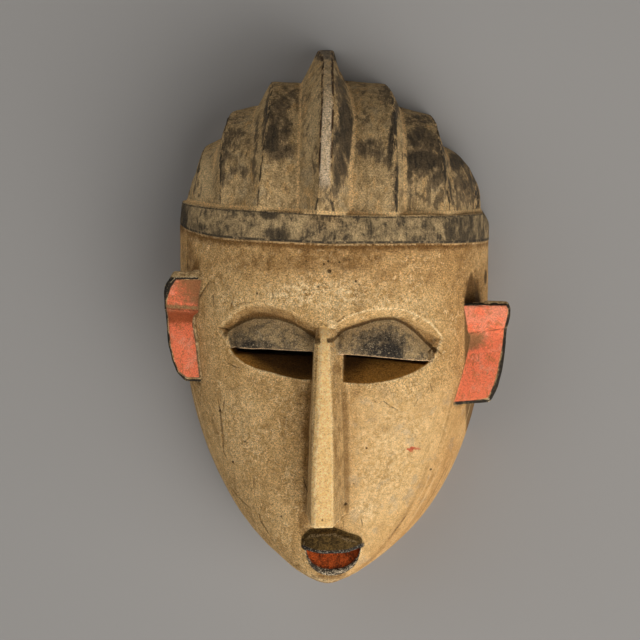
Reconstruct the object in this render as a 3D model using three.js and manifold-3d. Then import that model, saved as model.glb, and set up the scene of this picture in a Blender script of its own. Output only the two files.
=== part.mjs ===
// A carved wooden face mask with a stepped, ribbed coiffure, at full size in millimetres.
//
// The mask lies on the flat back edge (its rim) with the face up:
//   +Z out of the face, +Y towards the crest of the coiffure, +X to the viewer's right.
// The origin is at the bottom centre of the bounding box, in the plane of the rim.
//
// One solid: head shell, forehead band, coiffure with its fin, ears, lids, nose and mouth are
// cut from one block, hollow behind with walls of true thickness.
import * as THREE from "three";
import { mergeVertices } from "three/addons/utils/BufferGeometryUtils.js";
import Module from "manifold-3d";

const wasm = await Module();
wasm.setup();

// ---------------------------------------------------------------- driving dimensions
const HALF_WIDTH = 113.5; // head at its widest, at the rim
const WIDEST_Y = 31; // height of the widest place
const CHIN_Y = -189.5; // lowest point of the face
const OUTLINE_P = 2.4; // egg outline of the face: w = W (1 - t^p)^q
const OUTLINE_Q = 0.555;
const CHIN_TUCK = 6; // the chin's underside runs back in by this much at the rim
const SHELL_TOP_Y = 84; // the head shell ends inside the coiffure
const BOX_CENTRE = [5.5, 1.4]; // the middle of the outline, which becomes the origin
const HOLE_SLOT = [4, 8]; // lacing slots through the side walls: height off the rim, length

// Front height of the face along its midline, without the nose: [y, z]
const MIDLINE = [
  [-189.5, 80], [-188, 90], [-184, 99], [-178, 104.5], [-165, 108.5], [-140, 111],
  [-100, 113], [-50, 117], [-10, 121], [30, 123.5], [55, 121.5], [84, 117],
];
// Squareness of the cross-section along the head: [y, exponent]
const SQUARENESS = [[-190, 2.35], [-120, 2.2], [-50, 2.3], [20, 2.45], [90, 2.5]];

// Hollow behind the face
const WALL_SIDE = 14; // wall at the rim
const WALL_FRONT = 23; // wall behind the face
const HOLLOW_CHIN_Y = -172;
const HOLLOW_TOP_Y = 146;

// Coiffure: arches that spring from the band and run back over the dome to the rim.
// Each line is [x at the band, x half way, x at the back, height of its arch off the rim,
// rise above ARCH_Y]
const ARCH_Y = 76;
const ARCH_SQUARENESS = 2.25;
const COIFFURE = [
  [-110.0, -109.8, -109.0, 14, 5], // left side, low
  [-104.0, -104.0, -103.7, 46, 22.5],
  [-98.5, -99.0, -99.5, 62, 32],
  [-92.7, -94.7, -94.4, 76, 46.4], // plate 3, edge
  [-82.6, -81.0, -81.1, 89, 53], // valley
  [-74.5, -75.7, -73.4, 101, 71.2], // plate 2, edge
  [-57.0, -53.8, -55.6, 107, 76], // valley
  [-46.7, -41.4, -46.0, 118, 91.6], // plate 1, edge
  [-18.5, -19.0, -24.1, 116, 92], // foot of the fin
  [-2.1, -1.8, -9.5, 138, 116], // edge of the fin
  [4.6, 5.1, -0.5, 138, 116],
  [18.1, 20.0, 8.0, 116, 92],
  [49.5, 48.0, 37.5, 118, 90.7],
  [55.0, 53.9, 44.5, 107, 75.5],
  [86.6, 79.5, 69.6, 93, 66.8],
  [90.5, 84.5, 76.6, 84, 47.5],
  [97.0, 92.0, 83.0, 68, 44.5],
  [101.0, 98.0, 90.1, 58, 40],
  [104.0, 102.0, 94.9, 48, 34],
  [106.5, 105.5, 99.7, 36, 26],
  [110.0, 109.5, 108.0, 14, 5],
];
const FIN_FOOT = [[97, 138.5], [76, 133.5]]; // bevel at the foot of the fin: [y, z] upper, lower

// Band over the forehead
const BAND_PROUD = 4.5;
const BAND_FLUSH = 3.6; // it runs out almost flush at the sides
const BAND_TOP = [[-112, 82], [-72, 79], [-24, 77], [7, 75.2], [51, 74.2], [112, 74.4]]; // [x, y]
const BAND_FOOT = [[-113, 66], [-97, 61.5], [-72, 58.2], [-24, 56.1], [7, 55], [51, 55], [113, 53.6]];

// Nose: [y, half width of the front, height of the front]
const NOSE_X = -0.2;
const NOSE_ROOT_HALF = 14;
const NOSE = [
  [6, 5.0, 121.3], [-2, 5.2, 126], [-18, 6.2, 132.5], [-59, 7.4, 139.5], [-90, 8.0, 142.5], [-136, 8.3, 146],
];

// Eyes, each a socket with a half-moon lid over a slit. Curves over x from the inner corner
// outwards: [x, brow edge, top of the lid, lower edge of the lid, lower edge of the opening]
const LEFT_EYE = [
  [-8, -1.5, -10.0, -20.2, -39.8], [-16, 3.4, -4.9, -20.0, -39.7], [-26, 9.2, -0.6, -19.8, -38.6],
  [-37, 12.5, 1.6, -19.6, -35.9], [-48, 13.5, 3.4, -19.5, -33.4], [-59, 9.9, -1.8, -19.4, -29.0],
  [-67, 3.4, -6.8, -19.9, -22.6], [-74.5, -4.9, -12.5, -20.2, -21.6],
];
const RIGHT_EYE = [
  [9, -0.6, -10.8, -22.0, -41.4], [16, 4.0, -5.6, -22.6, -41.8], [25, 7.5, -3.2, -23.2, -42.2],
  [35.5, 9.6, 0.0, -24.0, -42.2], [46, 9.9, 0.8, -25.2, -40.6], [56, 8.2, -3.6, -26.3, -37.8],
  [66, 3.6, -12.6, -27.5, -33.2], [75, -4.0, -20.0, -28.8, -30.2],
];
const SOCKET_DEPTH = 7.5;
const LID_PROUD = 1.5; // lower edge of the lid in front of the face
const LID_THICKNESS = 6;
const SLIT = 9; // height of the slit that goes through the wall

// Mouth
const MOUTH = { x: 5.2, y: -155.8, half: 18.8, sag: 5.7, drop: 19, depth: 9 };
const LIP_RING = 3.4; // width of the lip around the opening
const PAD = { x: 4.2, half: 21, top: -145.5, foot: -160, proud: 4 }; // upper lip pad

// Ears: plates that stand out from the sides of the head and face forward. Each has its
// outline as [u outwards from ATTACH_X, v up the face] and the profile of its front from top to
// foot as [v, w forward of `front`]: the upper panel leans back to a fold, with a hollow below it.
const ATTACH_X = 88;
const EARS = [
  {
    side: -1, turn: 0, front: 80,
    outline: [
      [-16, -42], [4, -46.5], [14.5, -46], [19.7, -40], [22.5, -32], [25, -20], [26.6, -7], [27.2, 8],
      [27, 18], [25, 26], [22, 33], [2, 33.5], [-16, 31],
    ],
    profile: [[38, 11], [33, 10.5], [9, 2.6], [5, 3.0], [2, -1.6], [-6, -3.2], [-20, -2.6], [-46, -5], [-52, -5]],
  },
  {
    side: 1, turn: 8, front: 71.5,
    outline: [
      [-16, -67], [2.4, -62.5], [27, -60.5], [29.5, -55], [32.3, -49.8], [35.5, -39], [37.2, -28], [38.3, -18],
      [38.4, -8], [38, 3], [35.5, 10], [20, 12.5], [2, 13], [-16, 11],
    ],
    profile: [[18, 8.5], [13, 8], [7, 6], [-11, -2.4], [-12.5, -4], [-30, -4.6], [-50, -2.6], [-62, -1], [-70, -1]],
  },
];
const EAR_THICKNESS = 10;

// ---------------------------------------------------------------- small tools
// Smooth curve through [x, y] pairs that never overshoots them.
function through(points) {
  const n = points.length;
  const slope = [];
  for (let i = 0; i < n - 1; i++)
    slope.push((points[i + 1][1] - points[i][1]) / (points[i + 1][0] - points[i][0]));
  const m = points.map((_, i) => {
    if (i === 0) return slope[0];
    if (i === n - 1) return slope[n - 2];
    return slope[i - 1] * slope[i] <= 0 ? 0 : (2 * slope[i - 1] * slope[i]) / (slope[i - 1] + slope[i]);
  });
  return (x) => {
    if (x <= points[0][0]) return points[0][1];
    if (x >= points[n - 1][0]) return points[n - 1][1];
    let i = 0;
    while (x > points[i + 1][0]) i++;
    const h = points[i + 1][0] - points[i][0];
    const t = (x - points[i][0]) / h;
    const t2 = t * t, t3 = t2 * t;
    return (
      (2 * t3 - 3 * t2 + 1) * points[i][1] + (t3 - 2 * t2 + t) * h * m[i] +
      (-2 * t3 + 3 * t2) * points[i + 1][1] + (t3 - t2) * h * m[i + 1]
    );
  };
}

const smooth = (a, b, v) => THREE.MathUtils.smoothstep(v, a, b);

// A closed mesh from points and triangles as a solid, whichever way its faces were wound.
function solid(points, triangles) {
  const position = new Float32Array(points.flat());
  const g = new THREE.BufferGeometry();
  g.setAttribute("position", new THREE.BufferAttribute(position, 3));
  g.setIndex(triangles.flat());
  return fromGeometry(g);
}

function fromGeometry(geometry) {
  const g = geometry.clone();
  g.deleteAttribute("normal");
  g.deleteAttribute("uv");
  const merged = mergeVertices(g, 1e-4);
  const index = new Uint32Array(merged.index.array);
  const make = () =>
    new wasm.Manifold(
      new wasm.Mesh({ numProp: 3, vertProperties: merged.attributes.position.array, triVerts: index }),
    );
  const made = make();
  if (made.volume() > 0) return made;
  for (let i = 0; i < index.length; i += 3) [index[i + 1], index[i + 2]] = [index[i + 2], index[i + 1]];
  return make();
}

// Solid between rings of equal length; each end is closed by a fan about the ring's centre.
function loft(rings) {
  const n = rings[0].length;
  const points = rings.flat().map((p) => [...p]);
  const triangles = [];
  for (let k = 0; k < rings.length - 1; k++)
    for (let i = 0; i < n; i++) {
      const a = k * n + i, b = k * n + ((i + 1) % n), c = a + n, d = b + n;
      triangles.push([a, b, d], [a, d, c]);
    }
  for (const [k, flip] of [[0, true], [rings.length - 1, false]]) {
    const ring = rings[k];
    const centre = [0, 1, 2].map((j) => ring.reduce((s, p) => s + p[j], 0) / n);
    const c = points.push(centre) - 1;
    for (let i = 0; i < n; i++) {
      const a = k * n + i, b = k * n + ((i + 1) % n);
      triangles.push(flip ? [b, a, c] : [a, b, c]);
    }
  }
  return solid(points, triangles);
}

// A flat outline pushed along Z from z0 to z1.
function prism(outline, z0, z1) {
  const shape = new THREE.Shape(outline.map(([x, y]) => new THREE.Vector2(x, y)));
  const g = new THREE.ExtrudeGeometry(shape, { depth: z1 - z0, bevelEnabled: false, steps: 1 });
  return fromGeometry(g.translate(0, 0, z0));
}

// ---------------------------------------------------------------- head
const midline = through(MIDLINE);
const squareness = through(SQUARENESS);

function halfWidth(y) {
  const t = THREE.MathUtils.clamp((WIDEST_Y - y) / (WIDEST_Y - CHIN_Y), 0, 1);
  return HALF_WIDTH * Math.pow(1 - Math.pow(t, OUTLINE_P), OUTLINE_Q) - 3 * smooth(60, 95, y);
}

function faceZ(x, y) {
  const n = squareness(y);
  const u = Math.min(Math.abs(x) / halfWidth(y), 1);
  return midline(y) * Math.pow(1 - Math.pow(u, n), 1 / n);
}

// Cross-section of a vault at y: from the rim on one side over the top to the other side.
function vault(y, w, h, n, segments, tuck = 0) {
  const ring = [];
  for (let i = 0; i <= segments; i++) {
    const a = (Math.PI * i) / segments;
    const c = Math.cos(a), s = Math.sin(a);
    const x = w * Math.sign(c) * Math.pow(Math.abs(c), 2 / n);
    const z = i === 0 || i === segments ? 0 : h * Math.pow(s, 2 / n);
    ring.push([x, y + tuck * Math.max(0, 1 - z / 80), z]);
  }
  return ring;
}

// Rows close together at the chin, where the outline turns fastest.
const rows = (from, to, count, power) =>
  Array.from({ length: count + 1 }, (_, i) => from + (to - from) * Math.pow(i / count, power));

const head = loft(
  rows(CHIN_Y + 0.35, SHELL_TOP_Y, 30, 1.75).map((y) =>
    vault(y, halfWidth(y), midline(y), squareness(y), 40, CHIN_TUCK * smooth(-150, CHIN_Y, y)),
  ),
);

// The hollow, a smoother egg inside the head that reaches up into the dome of the coiffure.
// It starts a little below the rim, so the rim stays one clean edge.
const hollow = (() => {
  const length = HOLLOW_TOP_Y - HOLLOW_CHIN_Y;
  const rings = [];
  const count = 22;
  for (let k = 0; k <= count; k++) {
    const t = -Math.cos((Math.PI * (0.035 + (0.93 * k) / count)));
    const y = HOLLOW_CHIN_Y + (length * (t + 1)) / 2;
    const up = smooth(40, HOLLOW_TOP_Y, y);
    const side = halfWidth(Math.min(y, 60)) - WALL_SIDE;
    const dome = Math.sqrt(Math.max(1 - Math.pow(Math.max(y - 48, 0) / (HOLLOW_TOP_Y - 48), 2.3), 0));
    const chin = Math.pow(Math.max(1 - Math.pow(Math.max(-120 - y, 0) / (-120 - HOLLOW_CHIN_Y), 2.2), 0), 0.5);
    const w = Math.max(side * (1 - up + up * dome) * dome * (0.35 + 0.65 * chin), 5);
    const h = Math.max((midline(Math.min(y, 60)) - WALL_FRONT) * Math.pow(dome, 0.9) * chin, 5);
    const ring = vault(y, w, h, 2.25, 28);
    ring[0][2] = ring[ring.length - 1][2] = 0;
    ring.unshift([ring[0][0], y, -4]);
    ring.push([ring[ring.length - 1][0], y, -4]);
    rings.push(ring);
  }
  return loft(rings);
})();

// ---------------------------------------------------------------- coiffure
const coiffure = (() => {
  const arcs = 14;
  const e = 2 / ARCH_SQUARENESS;
  const n = COIFFURE.length;
  const points = [];
  for (let k = 0; k <= arcs; k++) {
    const a = (Math.PI / 2) * (k / arcs);
    const c = k === arcs ? 0 : Math.pow(Math.cos(a), e);
    const s = Math.pow(Math.sin(a), e);
    const t = k / arcs;
    for (const [x0, xm, x1, high, rise] of COIFFURE)
      points.push([
        t < 0.45 ? x0 + ((xm - x0) * t) / 0.45 : xm + ((x1 - xm) * (t - 0.45)) / 0.55,
        ARCH_Y + rise * s, high * c,
      ]);
  }
  const axis = points.length;
  for (const [x0] of COIFFURE) points.push([x0, ARCH_Y - 8, 0]);
  const front = points.length; // the first ring again, pushed down into the head
  for (const [x0, , , high] of COIFFURE) points.push([x0 * 0.985, ARCH_Y - 8, Math.max(high - 16, 4)]);
  const triangles = [];
  const quad = (a, b, c, d) => triangles.push([a, b, c], [a, c, d]);
  for (let j = 0; j < n - 1; j++) {
    for (let k = 0; k < arcs; k++) quad(k * n + j, k * n + j + 1, (k + 1) * n + j + 1, (k + 1) * n + j);
    quad(arcs * n + j, arcs * n + j + 1, axis + j + 1, axis + j);
    quad(axis + j, axis + j + 1, front + j + 1, front + j);
    quad(front + j, front + j + 1, j + 1, j);
  }
  for (const [j, flip] of [[0, false], [n - 1, true]]) {
    const rim = [front + j, ...Array.from({ length: arcs + 1 }, (_, k) => k * n + j)];
    for (let k = 0; k < rim.length - 1; k++)
      triangles.push(flip ? [axis + j, rim[k + 1], rim[k]] : [axis + j, rim[k], rim[k + 1]]);
  }
  const made = solid(points, triangles);
  // bevel at the foot of the fin
  const [[y1, z1], [y0, z0]] = FIN_FOOT;
  const cut = [[y1 + 2, z1 + 1], [y1 + 2, 170], [ARCH_Y - 30, 170], [ARCH_Y - 30, z0], [y0, z0]].map(([y, z]) => [y, z]);
  const bevel = fromGeometry(
    new THREE.ExtrudeGeometry(new THREE.Shape(cut.map(([y, z]) => new THREE.Vector2(y, z))), {
      depth: 60, bevelEnabled: false, steps: 1,
    })
      .applyMatrix4(new THREE.Matrix4().makeBasis(
        new THREE.Vector3(0, 1, 0), new THREE.Vector3(0, 0, 1), new THREE.Vector3(1, 0, 0),
      ))
      .translate(-30, 0, 0),
  );
  return made.subtract(bevel);
})();

// ---------------------------------------------------------------- band
const band = (() => {
  const top = through(BAND_TOP), foot = through(BAND_FOOT);
  const rings = [];
  const count = 30;
  for (let i = 0; i <= count; i++) {
    const a = Math.PI * (1 - i / count);
    const n = 2.5;
    const c = Math.cos(a), s = Math.sin(a);
    const out = (proud, y) => [
      (halfWidth(y) + proud - BAND_FLUSH) * Math.sign(c) * Math.pow(Math.abs(c), 2 / n),
      y,
      i === 0 || i === count ? 0 : (midline(y) + proud) * Math.pow(s, 2 / n),
    ];
    const x = HALF_WIDTH * Math.sign(c) * Math.pow(Math.abs(c), 2 / n);
    const y0 = foot(x), y1 = top(x);
    rings.push([out(-8, y0), out(BAND_PROUD - 0.8, y0), out(BAND_PROUD, y0 + 2), out(BAND_PROUD, y1 - 2.5), out(BAND_PROUD - 2, y1), out(-8, y1 + 1.5)]);
  }
  return loft(rings);
})();

// ---------------------------------------------------------------- nose
const nose = loft(
  NOSE.map(([y, half, z]) => {
    const base = faceZ(NOSE_X, y) - 12;
    const rise = z - (base + 12);
    const root = half + (NOSE_ROOT_HALF - half) * smooth(-2, 14, rise) + 1.2;
    return [
      [NOSE_X - root - 2, y, base], [NOSE_X - root, y, base + 11], [NOSE_X - half, y, z - 0.8], [NOSE_X - half + 1.4, y, z],
      [NOSE_X + half - 1.2, y, z], [NOSE_X + half, y, z - 0.8], [NOSE_X + root, y, base + 11], [NOSE_X + root + 2, y, base],
    ];
  }),
);

// ---------------------------------------------------------------- eyes
// The lid and socket of one eye as a block to set into the face, with the outline cut for it.
function eye(curve) {
  const rowsOf = (c) => {
    const [x, brow, lidTop, lidLow, open] = c;
    const z = (y) => faceZ(x, y);
    const mid = (lidTop + lidLow) / 2;
    const corner = Math.min(1, (lidTop - lidLow) / 10); // the lid thins out into the corners
    return [
      [x, brow, z(brow)],
      [x, lidTop + 1.2, z(lidTop) - SOCKET_DEPTH],
      [x, lidTop - 1.6, z(lidTop) - SOCKET_DEPTH + 2.2 * corner],
      [x, mid + 1.2, z(mid) - 1.8 * corner],
      [x, lidLow + 1.4, z(lidLow) + LID_PROUD * corner],
      [x, lidLow, z(lidLow) + (LID_PROUD - 1) * corner],
      [x, lidLow + 0.9, z(lidLow) - LID_THICKNESS],
      [x, Math.max(lidLow - SLIT, open + 0.5), z(lidLow) - 16],
      [x, open, z(open)],
    ];
  };
  // The block reaches a little past the socket's outline on all sides, inside the wood.
  const past = 0.8;
  const last = curve.length - 1;
  const front = curve.map((c, i) => {
    const column = rowsOf(c);
    column[0] = [c[0], c[1] + past, faceZ(c[0], c[1]) - 1.5];
    column[column.length - 1] = [c[0], c[4] - past, faceZ(c[0], c[4]) - 1.2];
    const shift = i === 0 || i === last ? Math.sign(c[0]) * (i === 0 ? -past : past) : 0;
    return column.map(([x, y, z]) => [x + shift, y, shift ? Math.min(z, faceZ(x + shift, y) - 1.5) : z]);
  });
  const m = front[0].length;
  const deep = 40;
  const ring = curve.map(([x, brow, , , open]) => [[x, brow], [x, open]]);
  const outline = [...ring.map((r) => r[0]), ...ring.map((r) => r[1]).reverse()];
  // block: front rows and, below them, the same outline pushed back into the wall
  const points = [];
  for (const column of front) {
    for (const p of column) points.push(p);
    points.push([column[0][0], column[0][1], deep], [column[m - 1][0], column[m - 1][1], deep]);
  }
  const s = m + 2;
  const triangles = [];
  const quad = (a, b, c, d) => triangles.push([a, b, c], [a, c, d]);
  const n = front.length;
  for (let i = 0; i < n - 1; i++) {
    const a = i * s, b = (i + 1) * s;
    for (let j = 0; j < m - 1; j++) quad(a + j, a + j + 1, b + j + 1, b + j);
    quad(a + m - 1, a + m + 1, b + m + 1, b + m - 1);
    quad(a + m + 1, a + m, b + m, b + m + 1);
    quad(a + m, a, b, b + m);
  }
  for (const [i, flip] of [[0, true], [n - 1, false]]) {
    const a = i * s;
    for (let j = 0; j < m - 1; j++) {
      const t = [a + j, a + j + 1, a + m];
      triangles.push(flip ? t.reverse() : t);
    }
    const t = [a + m - 1, a + m + 1, a + m];
    triangles.push(flip ? t.reverse() : t);
  }
  return { block: solid(points, triangles), socket: prism(outline, 30, 170) };
}

// The slit that goes right through the wall under the lid.
function slit(curve) {
  const inner = curve.slice(0, -1);
  const upper = inner.map(([x, , , low]) => [x, low + 0.6]);
  const lower = inner.map(([x, , , low, open]) => [x, Math.max(low - SLIT, open + 0.6)]);
  return prism([...upper, ...lower.reverse()], 30, 170);
}

// ---------------------------------------------------------------- mouth
const arcPoints = (half, sag, count, sign) =>
  Array.from({ length: count + 1 }, (_, i) => {
    const t = -1 + (2 * i) / count;
    return [MOUTH.x + sign * t * half, MOUTH.y - sag * (1 - t * t)];
  });
const lipBlock = (() => {
  // upper lip pad: a faceted block that swells out over the mouth
  const { half, top, foot, proud } = PAD;
  const section = (y, w, p) => {
    const out = [];
    for (const u of [-1, -0.62, 0.55, 1]) out.push([PAD.x + u * w, y, faceZ(PAD.x + u * w, y) + (Math.abs(u) === 1 ? 0.2 : p)]);
    return [...out, [PAD.x + w, y, 85], [PAD.x - w, y, 85]];
  };
  const pad = loft([section(top, half * 0.72, 0.3), section(top - 4, half * 0.9, proud), section(foot + 4, half, proud), section(foot, half, proud)]);
  // lip around the lower half of the opening
  const outer = [...arcPoints(MOUTH.half + LIP_RING, MOUTH.drop + LIP_RING + 1, 12, 1), ...arcPoints(MOUTH.half + LIP_RING, 3, 4, -1)];
  const lip = prism(outer, 80, 107.5);
  return pad.add(lip);
})();
const mouthCut = prism(
  [...arcPoints(MOUTH.half, MOUTH.drop, 12, 1), ...arcPoints(MOUTH.half, MOUTH.sag, 8, -1).slice(1, -1)],
  faceZ(0, MOUTH.y) - MOUTH.depth, 130,
);

// ---------------------------------------------------------------- ears
function ear({ side, turn, front, outline, profile }) {
  const plate = prism(outline, -30, 20);
  const back = profile.filter((_, i) => i % 2 === 0).map(([v, w]) => [v, w - EAR_THICKNESS]).reverse();
  const g = new THREE.ExtrudeGeometry(
    new THREE.Shape([...profile, ...back].map(([v, w]) => new THREE.Vector2(v, w))),
    { depth: 80, bevelEnabled: false, steps: 1 },
  )
    .applyMatrix4(new THREE.Matrix4().makeBasis(
      new THREE.Vector3(0, 1, 0), new THREE.Vector3(0, 0, 1), new THREE.Vector3(1, 0, 0),
    ))
    .translate(-25, 0, 0);
  const body = plate.intersect(fromGeometry(g));
  const m = new THREE.Matrix4()
    .makeTranslation(ATTACH_X, 0, front)
    .multiply(new THREE.Matrix4().makeRotationY(THREE.MathUtils.degToRad(turn)));
  const mirror = new THREE.Matrix4().makeScale(side, 1, 1);
  return body.transform(mirror.multiply(m).elements);
}

// ---------------------------------------------------------------- one piece
let mask = head.add(coiffure).add(band).add(nose);
for (const curve of [LEFT_EYE, RIGHT_EYE]) {
  const { block, socket } = eye(curve);
  mask = mask.subtract(socket).add(block).subtract(slit(curve));
}
mask = mask.add(lipBlock).subtract(mouthCut);
for (const e of EARS) mask = mask.add(ear(e));
mask = mask.subtract(hollow);

// Lacing slots near the rim, one each side
for (const [x, y] of [[112, 25], [-112, 51.5]]) {
  const [high, long] = HOLE_SLOT;
  mask = mask.subtract(
    fromGeometry(new THREE.BoxGeometry(60, long, high).translate(x, y, 33)),
  );
}

// Very short edges left by the joins are closed up, where that keeps the surface closed.
function tidy(vertices, triangles, shortest) {
  const count = vertices.length / 3;
  let faces = [];
  for (let i = 0; i < triangles.length; i += 3) faces.push([triangles[i], triangles[i + 1], triangles[i + 2]]);
  const far = (a, b) => Math.hypot(
    vertices[3 * a] - vertices[3 * b], vertices[3 * a + 1] - vertices[3 * b + 1], vertices[3 * a + 2] - vertices[3 * b + 2],
  );
  for (let pass = 0; pass < 12; pass++) {
    const near = Array.from({ length: count }, () => new Set());
    for (const f of faces) for (let k = 0; k < 3; k++) { near[f[k]].add(f[(k + 1) % 3]); near[f[k]].add(f[(k + 2) % 3]); }
    const touched = new Set(), into = new Map();
    for (const f of faces)
      for (let k = 0; k < 3; k++) {
        const a = f[k], b = f[(k + 1) % 3];
        if (a > b || far(a, b) > shortest || touched.has(a) || touched.has(b)) continue;
        const common = [...near[a]].filter((v) => near[b].has(v));
        if (common.length !== 2 || common.some((v) => touched.has(v))) continue;
        into.set(a, b);
        for (const v of [a, b, ...near[a], ...near[b]]) touched.add(v);
      }
    if (!into.size) break;
    faces = faces.map((f) => f.map((v) => into.get(v) ?? v)).filter(([a, b, c]) => a !== b && b !== c && a !== c);
  }
  return faces;
}

function geometryOf(m) {
  const { vertProperties, triVerts } = m.getMesh();
  const faces = tidy(vertProperties, triVerts, 0.05);
  const g = new THREE.BufferGeometry();
  g.setAttribute("position", new THREE.BufferAttribute(new Float32Array(vertProperties), 3));
  g.setIndex(faces.flat());
  return g;
}

const wood = new THREE.MeshStandardMaterial({ color: 0xb08a56, roughness: 0.78, metalness: 0 });
const carved = new THREE.Mesh(geometryOf(mask), wood);
carved.name = "mask";
carved.position.set(-BOX_CENTRE[0], -BOX_CENTRE[1], 0);

const part = new THREE.Group();
part.add(carved);
export default part;
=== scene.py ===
# A carved wooden face mask with a stepped, ribbed coiffure, lying face up on its flat back rim.
# The wood is modelled as one solid: a distance field of the carving on a fine grid, turned into
# a mesh, then worked over with chisel facets, chips, checks and pits, and painted by zones.
# Sizes are millimetres in the carving's own layout; they become metres at the end.
import math
import time

import bpy
import numpy as np
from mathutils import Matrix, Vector


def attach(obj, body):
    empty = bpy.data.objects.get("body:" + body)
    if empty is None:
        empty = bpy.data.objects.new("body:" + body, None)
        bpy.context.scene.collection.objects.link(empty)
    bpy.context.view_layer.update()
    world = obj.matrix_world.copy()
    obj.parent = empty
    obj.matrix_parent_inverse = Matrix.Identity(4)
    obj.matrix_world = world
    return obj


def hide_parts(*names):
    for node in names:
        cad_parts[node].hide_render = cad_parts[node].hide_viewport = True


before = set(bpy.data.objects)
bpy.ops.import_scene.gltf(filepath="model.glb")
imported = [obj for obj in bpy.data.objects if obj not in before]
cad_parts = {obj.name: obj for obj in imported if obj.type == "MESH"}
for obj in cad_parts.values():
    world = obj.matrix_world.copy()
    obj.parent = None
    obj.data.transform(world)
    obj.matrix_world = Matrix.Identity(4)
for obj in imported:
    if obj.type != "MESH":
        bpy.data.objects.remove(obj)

T0 = time.time()
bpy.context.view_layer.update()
BOX_CENTRE = (5.5, 1.4)  # the middle of the outline, which is the frame's origin
PITCH = 0.8  # grid spacing
MOST_TRIANGLES = 192000
f32 = np.float32


def note(text):
    print("[mask] %5.1f s  %s" % (time.time() - T0, text), flush=True)


# ------------------------------------------------------------------ curves and noise
def curve(points):
    """Smooth curve through (x, y) pairs that never overshoots them."""
    xs = np.array([p[0] for p in points], float)
    ys = np.array([p[1] for p in points], float)
    if xs[0] > xs[-1]:
        xs, ys = xs[::-1], ys[::-1]
    h = np.diff(xs)
    s = np.diff(ys) / h
    m = np.zeros(len(xs))
    m[0], m[-1] = s[0], s[-1]
    for i in range(1, len(xs) - 1):
        if s[i - 1] * s[i] > 0:
            m[i] = 2 * s[i - 1] * s[i] / (s[i - 1] + s[i])

    def f(x):
        x = np.asarray(x, float)
        xc = np.clip(x, xs[0], xs[-1])
        i = np.clip(np.searchsorted(xs, xc, "right") - 1, 0, len(xs) - 2)
        t = (xc - xs[i]) / h[i]
        t2, t3 = t * t, t * t * t
        return ((2 * t3 - 3 * t2 + 1) * ys[i] + (t3 - 2 * t2 + t) * h[i] * m[i]
                + (-2 * t3 + 3 * t2) * ys[i + 1] + (t3 - t2) * h[i] * m[i + 1]).astype(f32)
    return f


def step(a, b, v):
    t = np.clip((v - a) / (b - a), 0, 1)
    return t * t * (3 - 2 * t)


def smin(a, b, k):
    return np.minimum(a, b) - np.maximum(k - np.abs(a - b), 0) ** 2 / (4 * k)


def smax(a, b, k):
    return np.maximum(a, b) + np.maximum(k - np.abs(a - b), 0) ** 2 / (4 * k)


def noise(p, scale, seed, stretch=(1, 1, 1)):
    """Smooth value noise in -1..1 at points p (n, 3), with features about `scale` mm wide."""
    rng = np.random.default_rng(seed)
    q = p / (np.array(stretch, f32) * scale) + 40.37
    i = np.floor(q).astype(np.int64)
    t = (q - i).astype(f32)
    t = t * t * t * (t * (t * 6 - 15) + 10)
    n = 64
    table = rng.uniform(-1, 1, (n, n, n)).astype(f32)
    i %= n
    j = (i + 1) % n
    out = 0
    for a in (0, 1):
        xa = j[:, 0] if a else i[:, 0]
        wa = t[:, 0] if a else 1 - t[:, 0]
        for b in (0, 1):
            yb = j[:, 1] if b else i[:, 1]
            wb = t[:, 1] if b else 1 - t[:, 1]
            for c in (0, 1):
                zc = j[:, 2] if c else i[:, 2]
                wc = t[:, 2] if c else 1 - t[:, 2]
                out = out + table[xa, yb, zc] * wa * wb * wc
    return out


def fractal(p, scale, seed, octaves=3, stretch=(1, 1, 1), gain=0.5):
    out, amp, total = 0, 1.0, 0.0
    for k in range(octaves):
        out = out + amp * noise(p, scale / 2 ** k, seed + 17 * k, stretch)
        total += amp
        amp *= gain
    return out / total


def dots(p, cell, seed, density):
    """Distance to the nearest of randomly scattered points, as a share of `cell`, and its size."""
    n = 64
    rng = np.random.default_rng(seed)
    jit = rng.uniform(0.15, 0.85, (n, n, n, 3)).astype(f32)
    kind = rng.uniform(0, 1, (n, n, n)).astype(f32)
    q = (p / cell + 50.0).astype(f32)
    i = np.floor(q).astype(np.int64)
    best = np.full(len(p), 9.0, f32)
    size = np.zeros(len(p), f32)
    for a in (-1, 0, 1):
        for b in (-1, 0, 1):
            for c in (-1, 0, 1):
                k = i + (a, b, c)
                m = k % n
                m = (m[:, 0], m[:, 1], m[:, 2])
                d = np.linalg.norm(k + jit[m] - q, axis=1).astype(f32)
                v = kind[m]
                d = np.where(v < density, d, 9.0)
                hit = d < best
                best = np.where(hit, d, best)
                size = np.where(hit, v / density, size)
    return best, size


# ------------------------------------------------------------------ driving sizes
HALF_WIDTH, WIDEST_Y, CHIN_Y = 113.5, 31.0, -190.2
OUTLINE_P, OUTLINE_Q, CHIN_TUCK = 2.4, 0.552, 6.0
midline = curve([(-190.2, 80), (-188, 90), (-184, 99), (-178, 104.5), (-165, 108.5), (-140, 111),
                 (-100, 113), (-50, 117), (-10, 121), (30, 123.5), (55, 121.5), (84, 117)])
squareness = curve([(-190, 2.35), (-120, 2.2), (-50, 2.3), (20, 2.45), (90, 2.5)])
WALL_SIDE, WALL_FRONT, HOLLOW_CHIN_Y, HOLLOW_TOP_Y = 14.0, 23.0, -172.0, 146.0

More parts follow.
